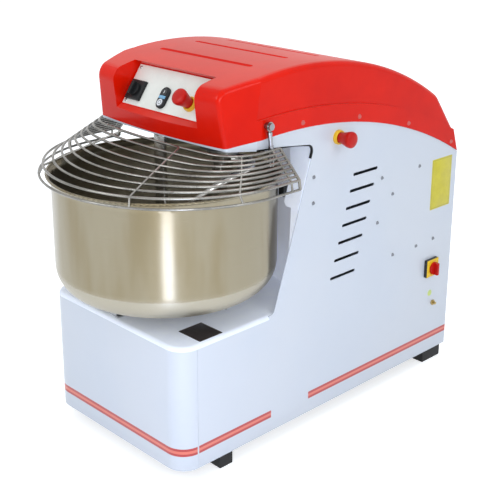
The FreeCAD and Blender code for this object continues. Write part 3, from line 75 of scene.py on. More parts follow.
class Graph:
    # a node tree, of a material or of the world

    def __init__(self, tree):
        self.tree = tree

    def node(self, kind, settings=None, inputs=None, output=0):
        made = self.tree.nodes.new("ShaderNode" + kind)
        for key, value in (settings or {}).items():
            setattr(made, key, value)
        for key, value in (inputs or {}).items():
            self.plug(made.inputs[key], value)
        return Wire(self, made.outputs[output])

    def plug(self, socket, value):
        if isinstance(value, Wire):
            self.tree.links.new(value.socket, socket)
        else:
            socket.default_value = value

    def mix(self, amount, first, second):
        colors = [value if isinstance(value, Wire) else (*value, 1) for value in (first, second)]
        settings = {"data_type": "RGBA", "clamp_factor": True}
        return self.node("Mix", settings, {0: amount, 6: colors[0], 7: colors[1]}, 2)

    def spread(self, value, low, high, outLow, outHigh):
        inputs = {0: value, 1: low, 2: high, 3: outLow, 4: outHigh}
        return self.node("MapRange", {"interpolation_type": "SMOOTHSTEP"}, inputs)

    def backdropRays(self):
        # 1 for the rays that see the plain white behind the machine
        camera, glossy, through = (
            self.node("LightPath", output="Is " + kind + " Ray")
            for kind in ("Camera", "Glossy", "Transmission")
        )
        return camera.maths("MAXIMUM", glossy).maths("MAXIMUM", through)


class Paint(Graph):
    # one material: its fixed values are set on the shader, the varying ones come through feed

    def __init__(self, name, fixed):
        self.material = bpy.data.materials.new(name)
        self.material.use_nodes = True
        super().__init__(self.material.node_tree)
        self.shader = self.tree.nodes["Principled BSDF"]
        for socket, value in fixed.items():
            self.shader.inputs[socket].default_value = value
        self.place = self.node("TexCoord", output="Object")
        self.x, self.y, self.z = (self.node("SeparateXYZ", {}, {0: self.place}, axis) for axis in "XYZ")

    def feed(self, name, value):
        self.plug(self.shader.inputs[name], value)

    def noise(self, scale, where=None, detail=3.0, rough=0.55):
        inputs = {"Vector": where or self.place, "Scale": scale, "Detail": detail, "Roughness": rough}
        return self.node("TexNoise", {}, inputs)

    def ribs(self, direction, scale):
        return self.node("TexWave", {"bands_direction": direction}, {"Vector": self.place, "Scale": scale})

    def stretch(self, x, y, z):
        return self.node("Mapping", {}, {"Vector": self.place, "Scale": (x, y, z)})

    def joined(self, x, y, z):
        return self.node("CombineXYZ", {}, {0: x, 1: y, 2: z})

    def step(self, value, edge, soft):
        # from 0 to 1 as the value passes the edge
        return self.spread(value, edge - soft, edge + soft, 0, 1)

    def band(self, value, low, high, soft):
        # 1 between low and high, with soft edges
        return self.step(value, low, soft) * self.spread(value, high - soft, high + soft, 1, 0)

    def bump(self, height, strength, distance):
        inputs = {"Height": height, "Strength": strength, "Distance": distance}
        self.feed("Normal", self.node("Bump", {}, inputs))


# measures shared by the paints and the added pieces
shift = -0.447  # from the front face of the base to the frame's origin, along y
pocket = {"y": 0.1622 + shift, "z": 0.8227, "tilt": math.radians(35)}
bowlAxis = {"x": 0.0, "y": 0.174 + shift}
buttons = {"x": -0.006, "up": 0.036, "spread": 0.0135}
plateThick = 0.0025
crisp = 0.0003  # half the width over which a painted edge changes
crispSmall = 0.0002


def upPlate(paint):
    # distance up the control plate
    rise = math.sin(pocket["tilt"])
    tall = math.cos(pocket["tilt"])
    return (paint.y - pocket["y"]) * rise + (paint.z - pocket["z"]) * tall


def roundAbout(paint, centre):
    # distance and angle round an upright axis
    x = paint.x - centre["x"]
    y = paint.y - centre["y"]
    return (x * x + y * y).maths("SQRT"), y.maths("ARCTAN2", x)


panelLook = {
    "white": (0.575, 0.615, 0.69), "warm": (0.60, 0.63, 0.69), "grime": (0.44, 0.46, 0.51),
    "grimeHeights": (0.04, 0.10), "grimeMost": 0.25, "rough": 0.30, "coat": 0.30, "grain": 420.0,
}
stripeLook = {
    "z": 0.088, "half": 0.0098, "edge": 0.0062, "soft": 0.0004, "edgeSoft": 0.0006,
    "red": (0.46, 0.035, 0.035), "pink": (0.72, 0.17, 0.12),
    "sideFrom": (0.246, 0.2475), "gap": (0.288 + shift, 0.422 + shift), "seam": 0.0022,
}


def addStripe(paint, color):
    # two red lines with a paler field between them, broken on the sides and at the front panel's seam
    half = stripeLook["half"]
    inner = half - stripeLook["edge"]
    soft = stripeLook["soft"]
    off = (paint.z - stripeLook["z"]).maths("ABSOLUTE")
    whole = paint.spread(off, half - soft, half + soft, 1, 0)
    rim = paint.step(off, inner, stripeLook["edgeSoft"])
    side = paint.spread(paint.x.maths("ABSOLUTE"), *stripeLook["sideFrom"], 0, 1)
    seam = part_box("front_panel")[1].y
    joint = paint.band(paint.y, seam - stripeLook["seam"], seam + stripeLook["seam"], crisp)
    kept = 1 - side * paint.band(paint.y, *stripeLook["gap"], 0.001).maths("MAXIMUM", joint)
    tape = paint.mix(rim, stripeLook["pink"], stripeLook["red"])
    return paint.mix(whole * kept, color, tape)


def panelPaint(name, striped):
    # powder coat on sheet steel, a little grimy near the floor
    paint = Paint(name, {"IOR": 1.5, "Coat Roughness": 0.12})
    cloud = paint.spread(paint.noise(3.0), 0.35, 0.65, 0, 1)
    color = paint.mix(cloud, panelLook["white"], panelLook["warm"])
    low = paint.spread(paint.z, *panelLook["grimeHeights"], panelLook["grimeMost"], 0)
    low = low * paint.noise(22.0, detail=6)
    color = paint.mix(low, color, panelLook["grime"])
    rub = paint.spread(paint.noise(18.0, detail=5), 0.45, 0.75, 0, 1)
    if striped:
        color = addStripe(paint, color)
    paint.feed("Base Color", color)
    paint.feed("Roughness", panelLook["rough"] + rub * 0.05 + low * 0.2)
    paint.feed("Coat Weight", panelLook["coat"] - rub * 0.06)
    paint.bump(paint.noise(panelLook["grain"], detail=1), 0.05, 0.0004)
    return paint.material


# the dust colour and its mask paint both fine dust and a pinkish sheen on what faces up
coverLook = {
    "red": (0.74, 0.010, 0.001), "deep": (0.64, 0.007, 0.001), "dust": (0.72, 0.26, 0.20),
    "dustAndSheenFrom": 0.75, "dustMost": 0.22, "rough": 0.22, "coat": 0.09, "ripple": 0.16, "rippleDepth": 0.0022,
}


def coverPaint():
    # red gelcoat; what faces up turns pinkish, partly fine dust and partly a painted sheen
    paint = Paint("cover_gelcoat", {"IOR": 1.52, "Specular IOR Level": 0.10, "Coat Roughness": 0.07})
    cloud = paint.spread(paint.noise(5.0, detail=4), 0.3, 0.7, 0, 1)
    color = paint.mix(cloud, coverLook["red"], coverLook["deep"])
    up = paint.node("SeparateXYZ", {}, {0: paint.node("NewGeometry", output="Normal")}, "Z")
    mottled = paint.spread(paint.noise(26.0, detail=8), 0.2, 0.8, 0.80, 1)
    # painted sheen and dust: surfaces facing up are lightened towards pink
    dust = paint.spread(up, coverLook["dustAndSheenFrom"], 1.0, 0, coverLook["dustMost"]) * mottled
    paint.feed("Base Color", paint.mix(dust, color, coverLook["dust"]))
    paint.feed("Roughness", coverLook["rough"] + dust * 0.7 + paint.noise(34.0, detail=4) * 0.04)
    paint.feed("Coat Weight", coverLook["coat"] - dust * 0.2)
    ripple = paint.noise(16.0, detail=2) + paint.noise(240.0, detail=1) * 0.06
    paint.bump(ripple, coverLook["ripple"], coverLook["rippleDepth"])
    return paint.material


def plainPaint(name, color, dark, rough, grain, metallic=0.0, depth=0.0003, fixed=None):
    # moulded plastic, primer or casting: two tones, uneven gloss and a fine grain
    paint = Paint(name, {"Metallic": metallic, **(fixed or {})})
    cloud = paint.spread(paint.noise(30.0, detail=5), 0.3, 0.7, 0, 1)
    paint.feed("Base Color", paint.mix(cloud, color, dark))
    paint.feed("Roughness", rough + (paint.noise(90.0, detail=4) - 0.5) * 0.12)
    paint.bump(paint.noise(grain, detail=2), 0.25, depth)
    return paint.material


def wirePaint(name, color, dark, rough):
    # plated or bright metal
    paint = Paint(name, {"Metallic": 1.0})
    cloud = paint.noise(26.0, detail=5)
    fine = paint.noise(500.0, detail=3)
    paint.feed("Base Color", paint.mix(paint.spread(cloud, 0.35, 0.7, 0, 1), color, dark))
    paint.feed("Roughness", rough + (cloud - 0.5) * 0.18 + (fine - 0.5) * 0.10)
    paint.bump(fine, 0.12, 0.0002)
    return paint.material


# painted light: the colours for the inside and for the low corner are paler than the wall's, to lift shade
# and dark reflection there
bowlLook = {
    "outside": (0.250, 0.208, 0.130), "band": (0.295, 0.262, 0.190), "inside": (0.40, 0.37, 0.30),
    "low": (0.36, 0.33, 0.265), "rough": 0.25, "wall": 0.2672, "floor": 0.3971,
    "paintedCornerHeights": (0.436, 0.470), "lipHeights": (0.62, 0.69),
    "brushing": 900, "streak": 1.3, "bands": 2.6, "fade": 2,  # per metre, or per radian round the bowl
}


def bowlPaint():
    # spun steel: brushed round, with broad bands of tone and a duller inside; painted light makes the inside
    # and the lower outside corner paler than the wall
    paint = Paint("bowl_spun_steel", {"Metallic": 1.0, "Anisotropic": 0.75, "Anisotropic Rotation": 0.25})
    around, angle = roundAbout(paint, bowlAxis)
    fine = bowlLook["brushing"]
    fade = bowlLook["fade"]
    streaks = paint.joined(angle * bowlLook["streak"], paint.z * fine, around * fine)
    brushed = paint.noise(1.0, streaks, 6, 0.7)
    broad = paint.noise(1.0, paint.joined(angle * bowlLook["bands"], paint.z * fade, around * fade), 3)
    color = paint.mix(paint.spread(broad, 0.35, 0.65, 0, 1), bowlLook["outside"], bowlLook["band"])
    # painted light: the inside gets a paler copy of the steel, lifting the shade there
    inner = paint.spread(around, bowlLook["wall"] - crisp, bowlLook["wall"] + crisp, 1, 0)
    inner = inner * paint.step(paint.z, bowlLook["floor"], crisp)
    inner = inner * paint.spread(paint.z, *bowlLook["lipHeights"], 1, 0.25)
    color = paint.mix(inner, color, bowlLook["inside"])
    # painted reflection: the lower outside corner is paler, standing in for a brighter reflection of the deck
    # below
    corner = paint.spread(paint.z, *bowlLook["paintedCornerHeights"], 1, 0)
    color = paint.mix(corner * (1 - inner), color, bowlLook["low"])
    paint.feed("Base Color", color)
    rough = bowlLook["rough"] + (brushed - 0.5) * 0.14 + (broad - 0.5) * 0.02 + inner * 0.12
    paint.feed("Roughness", rough)
    paint.bump(brushed, 0.10, 0.0002)
    return paint.material


turnedLook = {
    "color": (0.56, 0.56, 0.56), "dark": (0.40, 0.40, 0.41), "rough": 0.28, "rings": 1500, "streak": 0.6,
    "shafts": {
        "bowl_hub": ["bowl_bearings"], "spiral_shaft": ["spiral_bearings"],
        "countershaft": ["countershaft_bearings"], "bowl_drive_shaft": [], "motor_shaft": [],
    },
}


def turnedPaint(shaft):
    # steel turned on a lathe: rings about the shaft's own upright axis
    paint = Paint(shaft + "_turned_steel", {"Metallic": 1.0})
    low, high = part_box(shaft)
    around, angle = roundAbout(paint, {"x": (low.x + high.x) / 2, "y": (low.y + high.y) / 2})
    fine = turnedLook["rings"]
    grooves = paint.joined(angle * turnedLook["streak"], paint.z * fine, around * fine)
    rings = paint.noise(1.0, grooves, 4, 0.7)
    tone = paint.spread(rings, 0.3, 0.7, 0, 1)
    paint.feed("Base Color", paint.mix(tone, turnedLook["color"], turnedLook["dark"]))
    paint.feed("Roughness", turnedLook["rough"] + (rings - 0.5) * 0.25)
    paint.bump(rings, 0.12, 0.0002)
    return paint.material


stopLook = {
    "white": (0.80, 0.82, 0.84), "grey": (0.70, 0.72, 0.75), "mark": (0.03, 0.035, 0.04),
    "ring": (0.0036, 0.0050), "rim": (0.0078, 0.0086),
}


def stopPaint():
    # white button with a dark ring mark
    paint = Paint("stop_button_plastic", {"IOR": 1.49})
    across = paint.x - buttons["x"]
    up = upPlate(paint) - (buttons["up"] - buttons["spread"])
    far = (across * across + up * up).maths("SQRT")
    mark = paint.band(far, *stopLook["ring"], crispSmall)
    rim = paint.spread(far, *stopLook["rim"], 0, 1)
    color = paint.mix(paint.noise(120.0), stopLook["white"], stopLook["grey"])
    paint.feed("Base Color", paint.mix(mark + rim * 0.8, color, stopLook["mark"]))
    paint.feed("Roughness", 0.30 + paint.noise(300.0) * 0.12)
    paint.bump(paint.noise(900.0), 0.1, 0.0002)
    return paint.material


startLook = {
    "black": (0.012, 0.013, 0.014), "dark": (0.025, 0.026, 0.028), "mark": (0.80, 0.80, 0.80),
    "halfWidth": (0.0008, 0.0011), "halfHeight": (0.0034, 0.0038),
}


def startPaint():
    # black button with a short white bar
    paint = Paint("start_button_plastic", {"IOR": 1.49})
    across = (paint.x - buttons["x"]).maths("ABSOLUTE")
    up = (upPlate(paint) - (buttons["up"] + buttons["spread"])).maths("ABSOLUTE")
    mark = paint.spread(across, *startLook["halfWidth"], 1, 0)
    mark = mark * paint.spread(up, *startLook["halfHeight"], 1, 0)
    color = paint.mix(paint.noise(140.0), startLook["black"], startLook["dark"])
    paint.feed("Base Color", paint.mix(mark, color, startLook["mark"]))
    paint.feed("Roughness", 0.32 + paint.noise(300.0) * 0.15)
    paint.bump(paint.noise(900.0), 0.1, 0.0002)
    return paint.material


switchLook = {
    "face": 0.2598, "yellow": (0.83, 0.55, 0.012), "deep": (0.75, 0.46, 0.01),
    "black": (0.015, 0.016, 0.017),
}


def switchPaint():
    # yellow face on a black body
    paint = Paint("main_switch_plastic", {"IOR": 1.49})
    face = paint.step(paint.x, switchLook["face"], crispSmall)
    yellow = paint.mix(paint.noise(80.0, detail=4), switchLook["yellow"], switchLook["deep"])
    paint.feed("Base Color", paint.mix(face, switchLook["black"], yellow))
    paint.feed("Roughness", 0.34 + paint.noise(200.0) * 0.14)
    paint.bump(paint.noise(800.0), 0.15, 0.0002)
    return paint.material


lensLook = {"dim": (0.08, 0.24, 0.40), "lit": (0.16, 0.38, 0.54), "shine": 0.25, "ribs": 220.0}


def lensPaint():
    # ribbed blue window, faintly lit
    fixed = {"IOR": 1.49, "Coat Weight": 0.5, "Emission Strength": lensLook["shine"]}
    paint = Paint("pilot_lens_blue", fixed)
    glow = paint.spread(paint.noise(160.0, detail=2), 0.2, 0.8, 0, 1)
    color = paint.mix(glow, lensLook["dim"], lensLook["lit"])
    paint.feed("Base Color", color)
    paint.feed("Emission Color", color)
    paint.feed("Roughness", 0.12 + glow * 0.08)
    paint.bump(paint.ribs("X", lensLook["ribs"]), 0.3, 0.0003)
    return paint.material


rubberLook = {
    "black": (0.010, 0.010, 0.011), "worn": (0.022, 0.022, 0.024), "dust": (0.16, 0.15, 0.14),
    "dustHeights": (0.0, 0.03), "dustMost": 0.14, "dustLeast": 0.03, "rough": 0.55, "ribs": 180.0,
}


def rubberPaint(name, ribbed):
    # black rubber, dusty near the floor
    paint = Paint(name, {"IOR": 1.5, "Specular IOR Level": 0.2})
    cloud = paint.noise(35.0, detail=5)
    dust = paint.spread(paint.z, *rubberLook["dustHeights"], rubberLook["dustMost"], rubberLook["dustLeast"])
    color = paint.mix(cloud, rubberLook["black"], rubberLook["worn"])
    paint.feed("Base Color", paint.mix(dust * cloud, color, rubberLook["dust"]))
    paint.feed("Roughness", rubberLook["rough"] + (cloud - 0.5) * 0.3)
    height = paint.noise(600.0, detail=3)
    if ribbed:
        height = height * 0.3 + paint.ribs("Z", rubberLook["ribs"])
    paint.bump(height, 0.3, 0.0004)
    return paint.material


screwLook = {
    "y": -0.087, "z": -0.513, "skirt": 1.309,  # centre and radius of the line above which they are red
    "red": (0.56, 0.055, 0.04), "grey": (0.15, 0.16, 0.18), "worn": (0.5, 0.5, 0.5),
}


def screwPaint():
    # the skirt's screws are painted over with the cover, the panels' screws are dull zinc
    paint = Paint("body_screw_heads", {"IOR": 1.5})
    y = paint.y - screwLook["y"]
    z = paint.z - screwLook["z"]
    onSkirt = paint.step((y * y + z * z).maths("SQRT"), screwLook["skirt"], 0.0005)
    cloud = paint.noise(300.0, detail=4)
    color = paint.mix(onSkirt, screwLook["grey"], screwLook["red"])
    paint.feed("Base Color", paint.mix(cloud * 0.16, color, screwLook["worn"]))
    paint.feed("Metallic", 0.6 - onSkirt * 0.6)
    paint.feed("Roughness", 0.35 + (cloud - 0.5) * 0.2)
    paint.bump(cloud, 0.2, 0.0002)
    return paint.material


toolLook = {"color": (0.66, 0.65, 0.63), "dark": (0.52, 0.51, 0.49), "rough": 0.20}


def toolPaint():
    # hook and breaker bar: polished, with faint grinding along the bar
    paint = Paint("tool_polished_steel", {"Metallic": 1.0})
    streak = paint.noise(120.0, paint.stretch(3, 3, 0.4), 5, 0.6)
    tone = paint.spread(streak, 0.3, 0.7, 0, 1)
    paint.feed("Base Color", paint.mix(tone, toolLook["color"], toolLook["dark"]))
    paint.feed("Roughness", toolLook["rough"] + (streak - 0.5) * 0.22)
    paint.bump(streak, 0.10, 0.0003)
    return paint.material


# painted light: the throat and the deck get a paler copy of the panels' white coat, and it glows a little,
# standing in for the light that pale surroundings throw there
coat = {"color": (0.80, 0.84, 0.93), "dark": (0.76, 0.80, 0.90), "rough": 0.38, "grain": 420.0}
coatGlow = {
    "throat": {"Emission Color": (0.80, 0.84, 0.97, 1), "Emission Strength": 0.18},
    "deck": {"Emission Color": (0.80, 0.84, 0.93, 1), "Emission Strength": 0.09},
}

machinePaint = {
    "white": panelPaint("panel_powder_coat", False),
    "throat": plainPaint("throat_white_coat", fixed=coatGlow["throat"], **coat),
    "deck": plainPaint("deck_white_coat", fixed=coatGlow["deck"], **coat),
    "striped": panelPaint("panel_striped_powder_coat", True),
    "cover": coverPaint(),
    "primer": plainPaint("frame_dark_primer", (0.045, 0.048, 0.052), (0.075, 0.078, 0.082), 0.55, 300.0),
    "casting": plainPaint("cast_housing", (0.07, 0.075, 0.08), (0.12, 0.12, 0.125), 0.6, 260.0, 0.4, 0.0006),
    "motor": plainPaint("motor_enamel", (0.11, 0.14, 0.17), (0.15, 0.18, 0.21), 0.42, 220.0, 0.1, 0.0005),
    "zinc": wirePaint("zinc_plate", (0.55, 0.56, 0.57), (0.36, 0.37, 0.38), 0.34),
    "wire": wirePaint("guard_bright_wire", (0.30, 0.29, 0.27), (0.20, 0.195, 0.18), 0.26),
    "chrome": wirePaint("guard_arm_chrome", (0.34, 0.34, 0.36), (0.24, 0.24, 0.26), 0.12),
    "screws": screwPaint(),
    "plate": plainPaint(
        "control_plate_foil", (0.80, 0.80, 0.74), (0.76, 0.76, 0.70), 0.40, 500.0,
        fixed={"Coat Weight": 0.2},
    ),
    "brass": wirePaint("earth_brass", (0.62, 0.46, 0.17), (0.40, 0.30, 0.13), 0.32),
    "black": plainPaint(
        "black_plastic", (0.008, 0.009, 0.010), (0.016, 0.017, 0.018), 0.36, 700.0,
        fixed={"Specular IOR Level": 0.25},
    ),
    "grey": plainPaint("grey_plastic", (0.30, 0.31, 0.32), (0.36, 0.37, 0.38), 0.5, 500.0),
    "yellow": plainPaint("yellow_plastic", (0.83, 0.50, 0.012), (0.74, 0.42, 0.01), 0.32, 700.0),
    "red": plainPaint(
        "red_plastic", (0.53, 0.010, 0.006), (0.46, 0.008, 0.005), 0.30, 700.0,
        fixed={"Specular IOR Level": 0.2},
    ),
    "nylon": plainPaint("roller_nylon", (0.05, 0.05, 0.055), (0.08, 0.08, 0.085), 0.5, 500.0),
    "bowl": bowlPaint(),
    "tools": toolPaint(),
    "pulley": plainPaint("pulley_casting", (0.16, 0.165, 0.17), (0.24, 0.24, 0.245), 0.5, 260.0, 0.6, 0.0004),
    "stop": stopPaint(),
    "start": startPaint(),
    "switch": switchPaint(),
    "lens": lensPaint(),
    "feet": rubberPaint("foot_rubber", False),
    "belt": rubberPaint("belt_rubber", True),
    **{shaft: turnedPaint(shaft) for shaft in turnedLook["shafts"]},
}
print("paints are made:", len(machinePaint))

dressed = {
    **{shaft: [shaft, *bearings] for shaft, bearings in turnedLook["shafts"].items()},
    "white": ["rear_panel", "head_underside"],
    "throat": ["throat_wall", "throat_cheeks"],
    "deck": ["deck_plate"],
    "plate": ["control_plate"],
    "screws": ["body_screws"],
    "striped": ["front_panel", "right_side_panel", "left_side_panel"],
    "cover": ["head_cover"],
    "primer": ["base_frame", "drive_bridges", "head_plate"],
    "casting": ["bowl_bearing_housing", "countershaft_housings", "spiral_bearing_housing"],
    "motor": ["bowl_gearmotor", "spiral_motor"],
    "zinc": ["plate_screws", "roller_brackets"],
    "chrome": ["guard_bolts"],
    "wire": ["guard"],
    "brass": ["earth_stud"],
    "black": ["selector_base", "selector_knob", "button_housing", "guard_switch"],
    "grey": ["electrical_box"],
    "yellow": ["front_estop_base", "side_estop_base"],
    "red": ["front_estop_button", "side_estop_button", "main_switch_knob"],
    "nylon": ["bowl_roller_1", "bowl_roller_2", "bowl_roller_3"],
    "bowl": ["bowl"],
    "tools": ["spiral_hook", "breaker_bar"],
    "pulley": [
        "bowl_pulley", "bowl_drive_pulley", "motor_pulley", "countershaft_low_pulley",
        "countershaft_top_pulley", "spiral_pulley",
    ],
    "stop": ["stop_button"],
    "start": ["start_button"],
    "switch": ["main_switch_housing"],
    "lens": ["pilot_lens"],
    "feet": ["rubber_feet"],
    "belt": ["drive_belts"],
}

for key, names in dressed.items():
    for name in names:
        slots = nodes[name].data.materials
        slots.clear()
        slots.append(machinePaint[key])
print("paints are on", sum(len(names) for names in dressed.values()), "nodes")


def newPiece(name, mesh, paint, body, sharp=30):
    # sharp is the angle, in degrees, past which an edge stays crisp
    data = bpy.data.meshes.new(name)
    mesh.normal_update()
    mesh.to_mesh(data)
    mesh.free()
    data.shade_smooth()
    data.set_sharp_from_angle(angle=math.radians(sharp))
    piece = bpy.data.objects.new(name, data)
    bpy.context.scene.collection.objects.link(piece)
    data.materials.append(paint)
    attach(piece, body)
    return piece


def roundedPlate(width, height, corner, thick, edge):
    # a flat plate in the local x-y plane, its back at z = 0
    mesh = bmesh.new()
    bmesh.ops.create_grid(mesh, x_segments=1, y_segments=1, size=0.5)
    bmesh.ops.scale(mesh, vec=(width, height, 1), verts=mesh.verts)
    bmesh.ops.bevel(
        mesh, geom=mesh.verts[:], offset=corner, offset_type="OFFSET", affect="VERTICES",
        segments=6, profile=0.5, material=-1,
    )
    bmesh.ops.solidify(mesh, geom=mesh.faces[:], thickness=-thick)
    top = max(vert.co.z for vert in mesh.verts)
    level = {vert for vert in mesh.verts if abs(vert.co.z - top) < 1e-7}
    rim = [e for e in mesh.edges if level.issuperset(e.verts) and e.is_manifold]
    bmesh.ops.bevel(
        mesh, geom=rim, offset=edge, offset_type="OFFSET", affect="EDGES",
        segments=2, profile=0.5, material=-1,
    )
    low = min(vert.co.z for vert in mesh.verts)
    bmesh.ops.translate(mesh, vec=(0, 0, -low), verts=mesh.verts)
    bmesh.ops.recalc_face_normals(mesh, faces=mesh.faces[:])
    return mesh


def spun(profile, closed, steps=56):
    # a profile of (radius, height) turned about the local z axis; an open one starts and ends on the axis
    mesh = bmesh.new()
    verts = [mesh.verts.new((radius, 0, height)) for radius, height in profile]
    pairs = list(zip(verts, verts[1:]))
    if closed:
        pairs.append((verts[-1], verts[0]))
    edges = [mesh.edges.new(pair) for pair in pairs]
    bmesh.ops.spin(
        mesh, geom=verts + edges, cent=(0, 0, 0), axis=(0, 0, 1), angle=math.tau, steps=steps, use_merge=True,
    )
    bmesh.ops.remove_doubles(mesh, verts=mesh.verts[:], dist=0.000002)
    bmesh.ops.recalc_face_normals(mesh, faces=mesh.faces[:])
    return mesh


def onPlate(across, up, out):
    # from a fitting's own axes to the control plate
    rise = Vector((0, math.sin(pocket["tilt"]), math.cos(pocket["tilt"])))
    away = Vector((0, -math.cos(pocket["tilt"]), math.sin(pocket["tilt"])))
    foot = Vector((across, pocket["y"], pocket["z"])) + rise * up + away * out
    return Matrix(((1, 0, 0, foot.x), (0, rise.y, away.y, foot.y), (0, rise.z, away.z, foot.z), (0, 0, 0, 1)))


def onSide(y, z):
    # from a fitting's own axes to the right panel's outside
    return Matrix(((0, 0, 1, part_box("right_side_panel")[1].x), (1, 0, 0, y), (0, 1, 0, z), (0, 0, 0, 1)))


foilLine = (0.003, 0.0042)  # in from a label's edge


def labelPaint(name, look, size, centre, axes):
    # foil with nothing on it: a plain field inside a thin darker line
    paint = Paint(name, {"IOR": 1.5, "Coat Roughness": 0.2})
    away = []
    for axis, middle, side in zip(axes, centre, size):
        distance = getattr(paint, axis) - middle
        away.append((distance.maths("ABSOLUTE") - side / 2) * -1)
    near = away[0].maths("MINIMUM", away[1])
    line = paint.band(near, *foilLine, crisp)
    cloud = paint.spread(paint.noise(50.0, detail=5), 0.3, 0.7, 0, 1)
    paint.feed("Base Color", paint.mix(line, paint.mix(cloud, look["color"], look["dark"]), look["border"]))
    paint.feed("Roughness", look["rough"] + (paint.noise(160.0, detail=4) - 0.5) * 0.2)
    paint.feed("Coat Weight", paint.spread(paint.noise(20.0), 0.3, 0.7, 0.2, 0.5))
    paint.bump(paint.noise(30.0), 0.15, 0.0004)
    return paint.material


deckLabel = {
    "x": 0.2025, "y": 0.102 + shift, "width": 0.075, "length": 0.070,
    "corner": 0.002, "thick": 0.0006, "edge": 0.0002,
    "color": (0.020, 0.016, 0.016), "dark": (0.034, 0.026, 0.026), "border": (0.05, 0.03, 0.03),
    "rough": 0.42,
}


def addDeckLabel():
    look = deckLabel
    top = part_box("deck_plate")[1].z
    mesh = roundedPlate(look["width"], look["length"], look["corner"], look["thick"], look["edge"])
    bmesh.ops.translate(mesh, vec=(look["x"], look["y"], top), verts=mesh.verts)
    size = (look["width"], look["length"])
    paint = labelPaint("deck_label_foil", look, size, (look["x"], look["y"]), "xy")
    newPiece("deck_label", mesh, paint, "stand")


sideLabel = {
    "y": 0.9435 + shift, "z": 0.5445, "width": 0.089, "height": 0.143,
    "corner": 0.002, "thick": 0.0005, "edge": 0.0002,
    "color": (0.60, 0.52, 0.012), "dark": (0.54, 0.46, 0.012), "border": (0.30, 0.25, 0.02),
    "rough": 0.45,
}


def addSideLabel():
    look = sideLabel
    mesh = roundedPlate(look["width"], look["height"], look["corner"], look["thick"], look["edge"])
    bmesh.ops.transform(mesh, matrix=onSide(look["y"], look["z"]), verts=mesh.verts)
    size = (look["width"], look["height"])
    paint = labelPaint("side_label_foil", look, size, (look["y"], look["z"]), "yz")
    newPiece("side_label", mesh, paint, "stand")


earthMark = {
    "y": 0.923 + shift, "z": 0.222, "radius": 0.009, "thick": 0.0005, "edge": 0.0003,
    "color": (0.62, 0.72, 0.20), "dark": (0.52, 0.62, 0.20), "rough": 0.45,
}


def addEarthMark():
    # a small round sticker over the earth stud
    look = earthMark
    mesh = bmesh.new()
    bmesh.ops.create_cone(
        mesh, cap_ends=True, segments=32, radius1=look["radius"], radius2=look["radius"] - look["edge"],
        depth=look["thick"],
    )
    bmesh.ops.translate(mesh, vec=(0, 0, look["thick"] / 2), verts=mesh.verts)
    bmesh.ops.transform(mesh, matrix=onSide(look["y"], look["z"]), verts=mesh.verts)
    paint = plainPaint("earth_mark_foil", look["color"], look["dark"], look["rough"], 400.0)
    newPiece("earth_mark", mesh, paint, "stand")


addDeckLabel()
addSideLabel()
addEarthMark()
print("labels are on")

# a flared head on a neck that slides into a low collar
stopShape = {
    "head": [
        (0, 0.0490), (0.0100, 0.0486), (0.0160, 0.0475), (0.0187, 0.0457), (0.0199, 0.0430),
        (0.0200, 0.0398), (0.0194, 0.0361), (0.0175, 0.0294), (0.0154, 0.0224), (0.0137, 0.0152),
        (0.0129, 0.0085), (0.0080, 0.0080), (0.0080, -0.0080), (0, -0.0080),
    ],
    "collar": [
        (0.0180, 0), (0.0180, 0.0050), (0.0172, 0.0080), (0.0160, 0.0090), (0.0142, 0.0090),
        (0.0138, 0.0084), (0.0138, 0.0012), (0.0083, 0.0012), (0.0083, -0.0170), (0.0110, -0.0170),
        (0.0110, 0),
    ],
    "across": 0.088, "up": 0.037,  # of the front one, on the control plate
    "y": 0.506 + shift, "z": 0.752,  # of the side one
}


def addStop(name, place):
    head = spun(stopShape["head"], False)
    bmesh.ops.transform(head, matrix=place, verts=head.verts)
    piece = newPiece(name + "_head", head, machinePaint["red"], name)
    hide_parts(name + "_button")
    collar = spun(stopShape["collar"], True)
    bmesh.ops.transform(collar, matrix=place, verts=collar.verts)
    piece = newPiece(name + "_collar", collar, machinePaint["yellow"], "stand")
    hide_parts(name + "_base")


lens = {"width": 0.0215, "height": 0.0076, "corner": 0.0012, "thick": 0.0019, "edge": 0.0006, "face": 0.0070}


def addPilotWindow():
    # a raised window as wide as the button housing allows
    mesh = roundedPlate(lens["width"], lens["height"], lens["corner"], lens["thick"], lens["edge"])
    place = onPlate(buttons["x"], buttons["up"], plateThick + lens["face"])
    bmesh.ops.transform(mesh, matrix=place, verts=mesh.verts)
    piece = newPiece("pilot_window", mesh, machinePaint["lens"], "stand")
    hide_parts("pilot_lens")


sleeve = {
    "profile": [
        (0.0031, 0), (0.0058, 0), (0.0062, 0.0008), (0.0062, 0.0070), (0.0052, 0.0080), (0.0052, 0.0330),
        (0.0060, 0.0336), (0.0060, 0.0392), (0.0052, 0.0400), (0.0031, 0.0400),
    ],
    "steps": 28, "x": 0.262, "low": (-0.182, 0.7702), "high": (-0.187, 0.8120),
}


def addSleeves():
    # plated sleeves on the guard's two arms, from low to high
    run, rise = (high - low for low, high in zip(sleeve["low"], sleeve["high"]))
    lean = Matrix.Rotation(-math.atan2(run, rise), 4, "X")
    for side, x in (("right", sleeve["x"]), ("left", -sleeve["x"])):
        mesh = spun(sleeve["profile"], True, sleeve["steps"])
        place = Matrix.Translation((x, *sleeve["low"])) @ lean
        bmesh.ops.transform(mesh, matrix=place, verts=mesh.verts)
        newPiece("guard_sleeve_" + side, mesh, machinePaint["chrome"], "guard")


trim = {
    "front": -0.215, "slope": 0.0923, "lean": 0.332, "down": 0.034,
    "round": 0.0226, "steps": 10, "wide": 0.006, "thick": 0.0035,
}


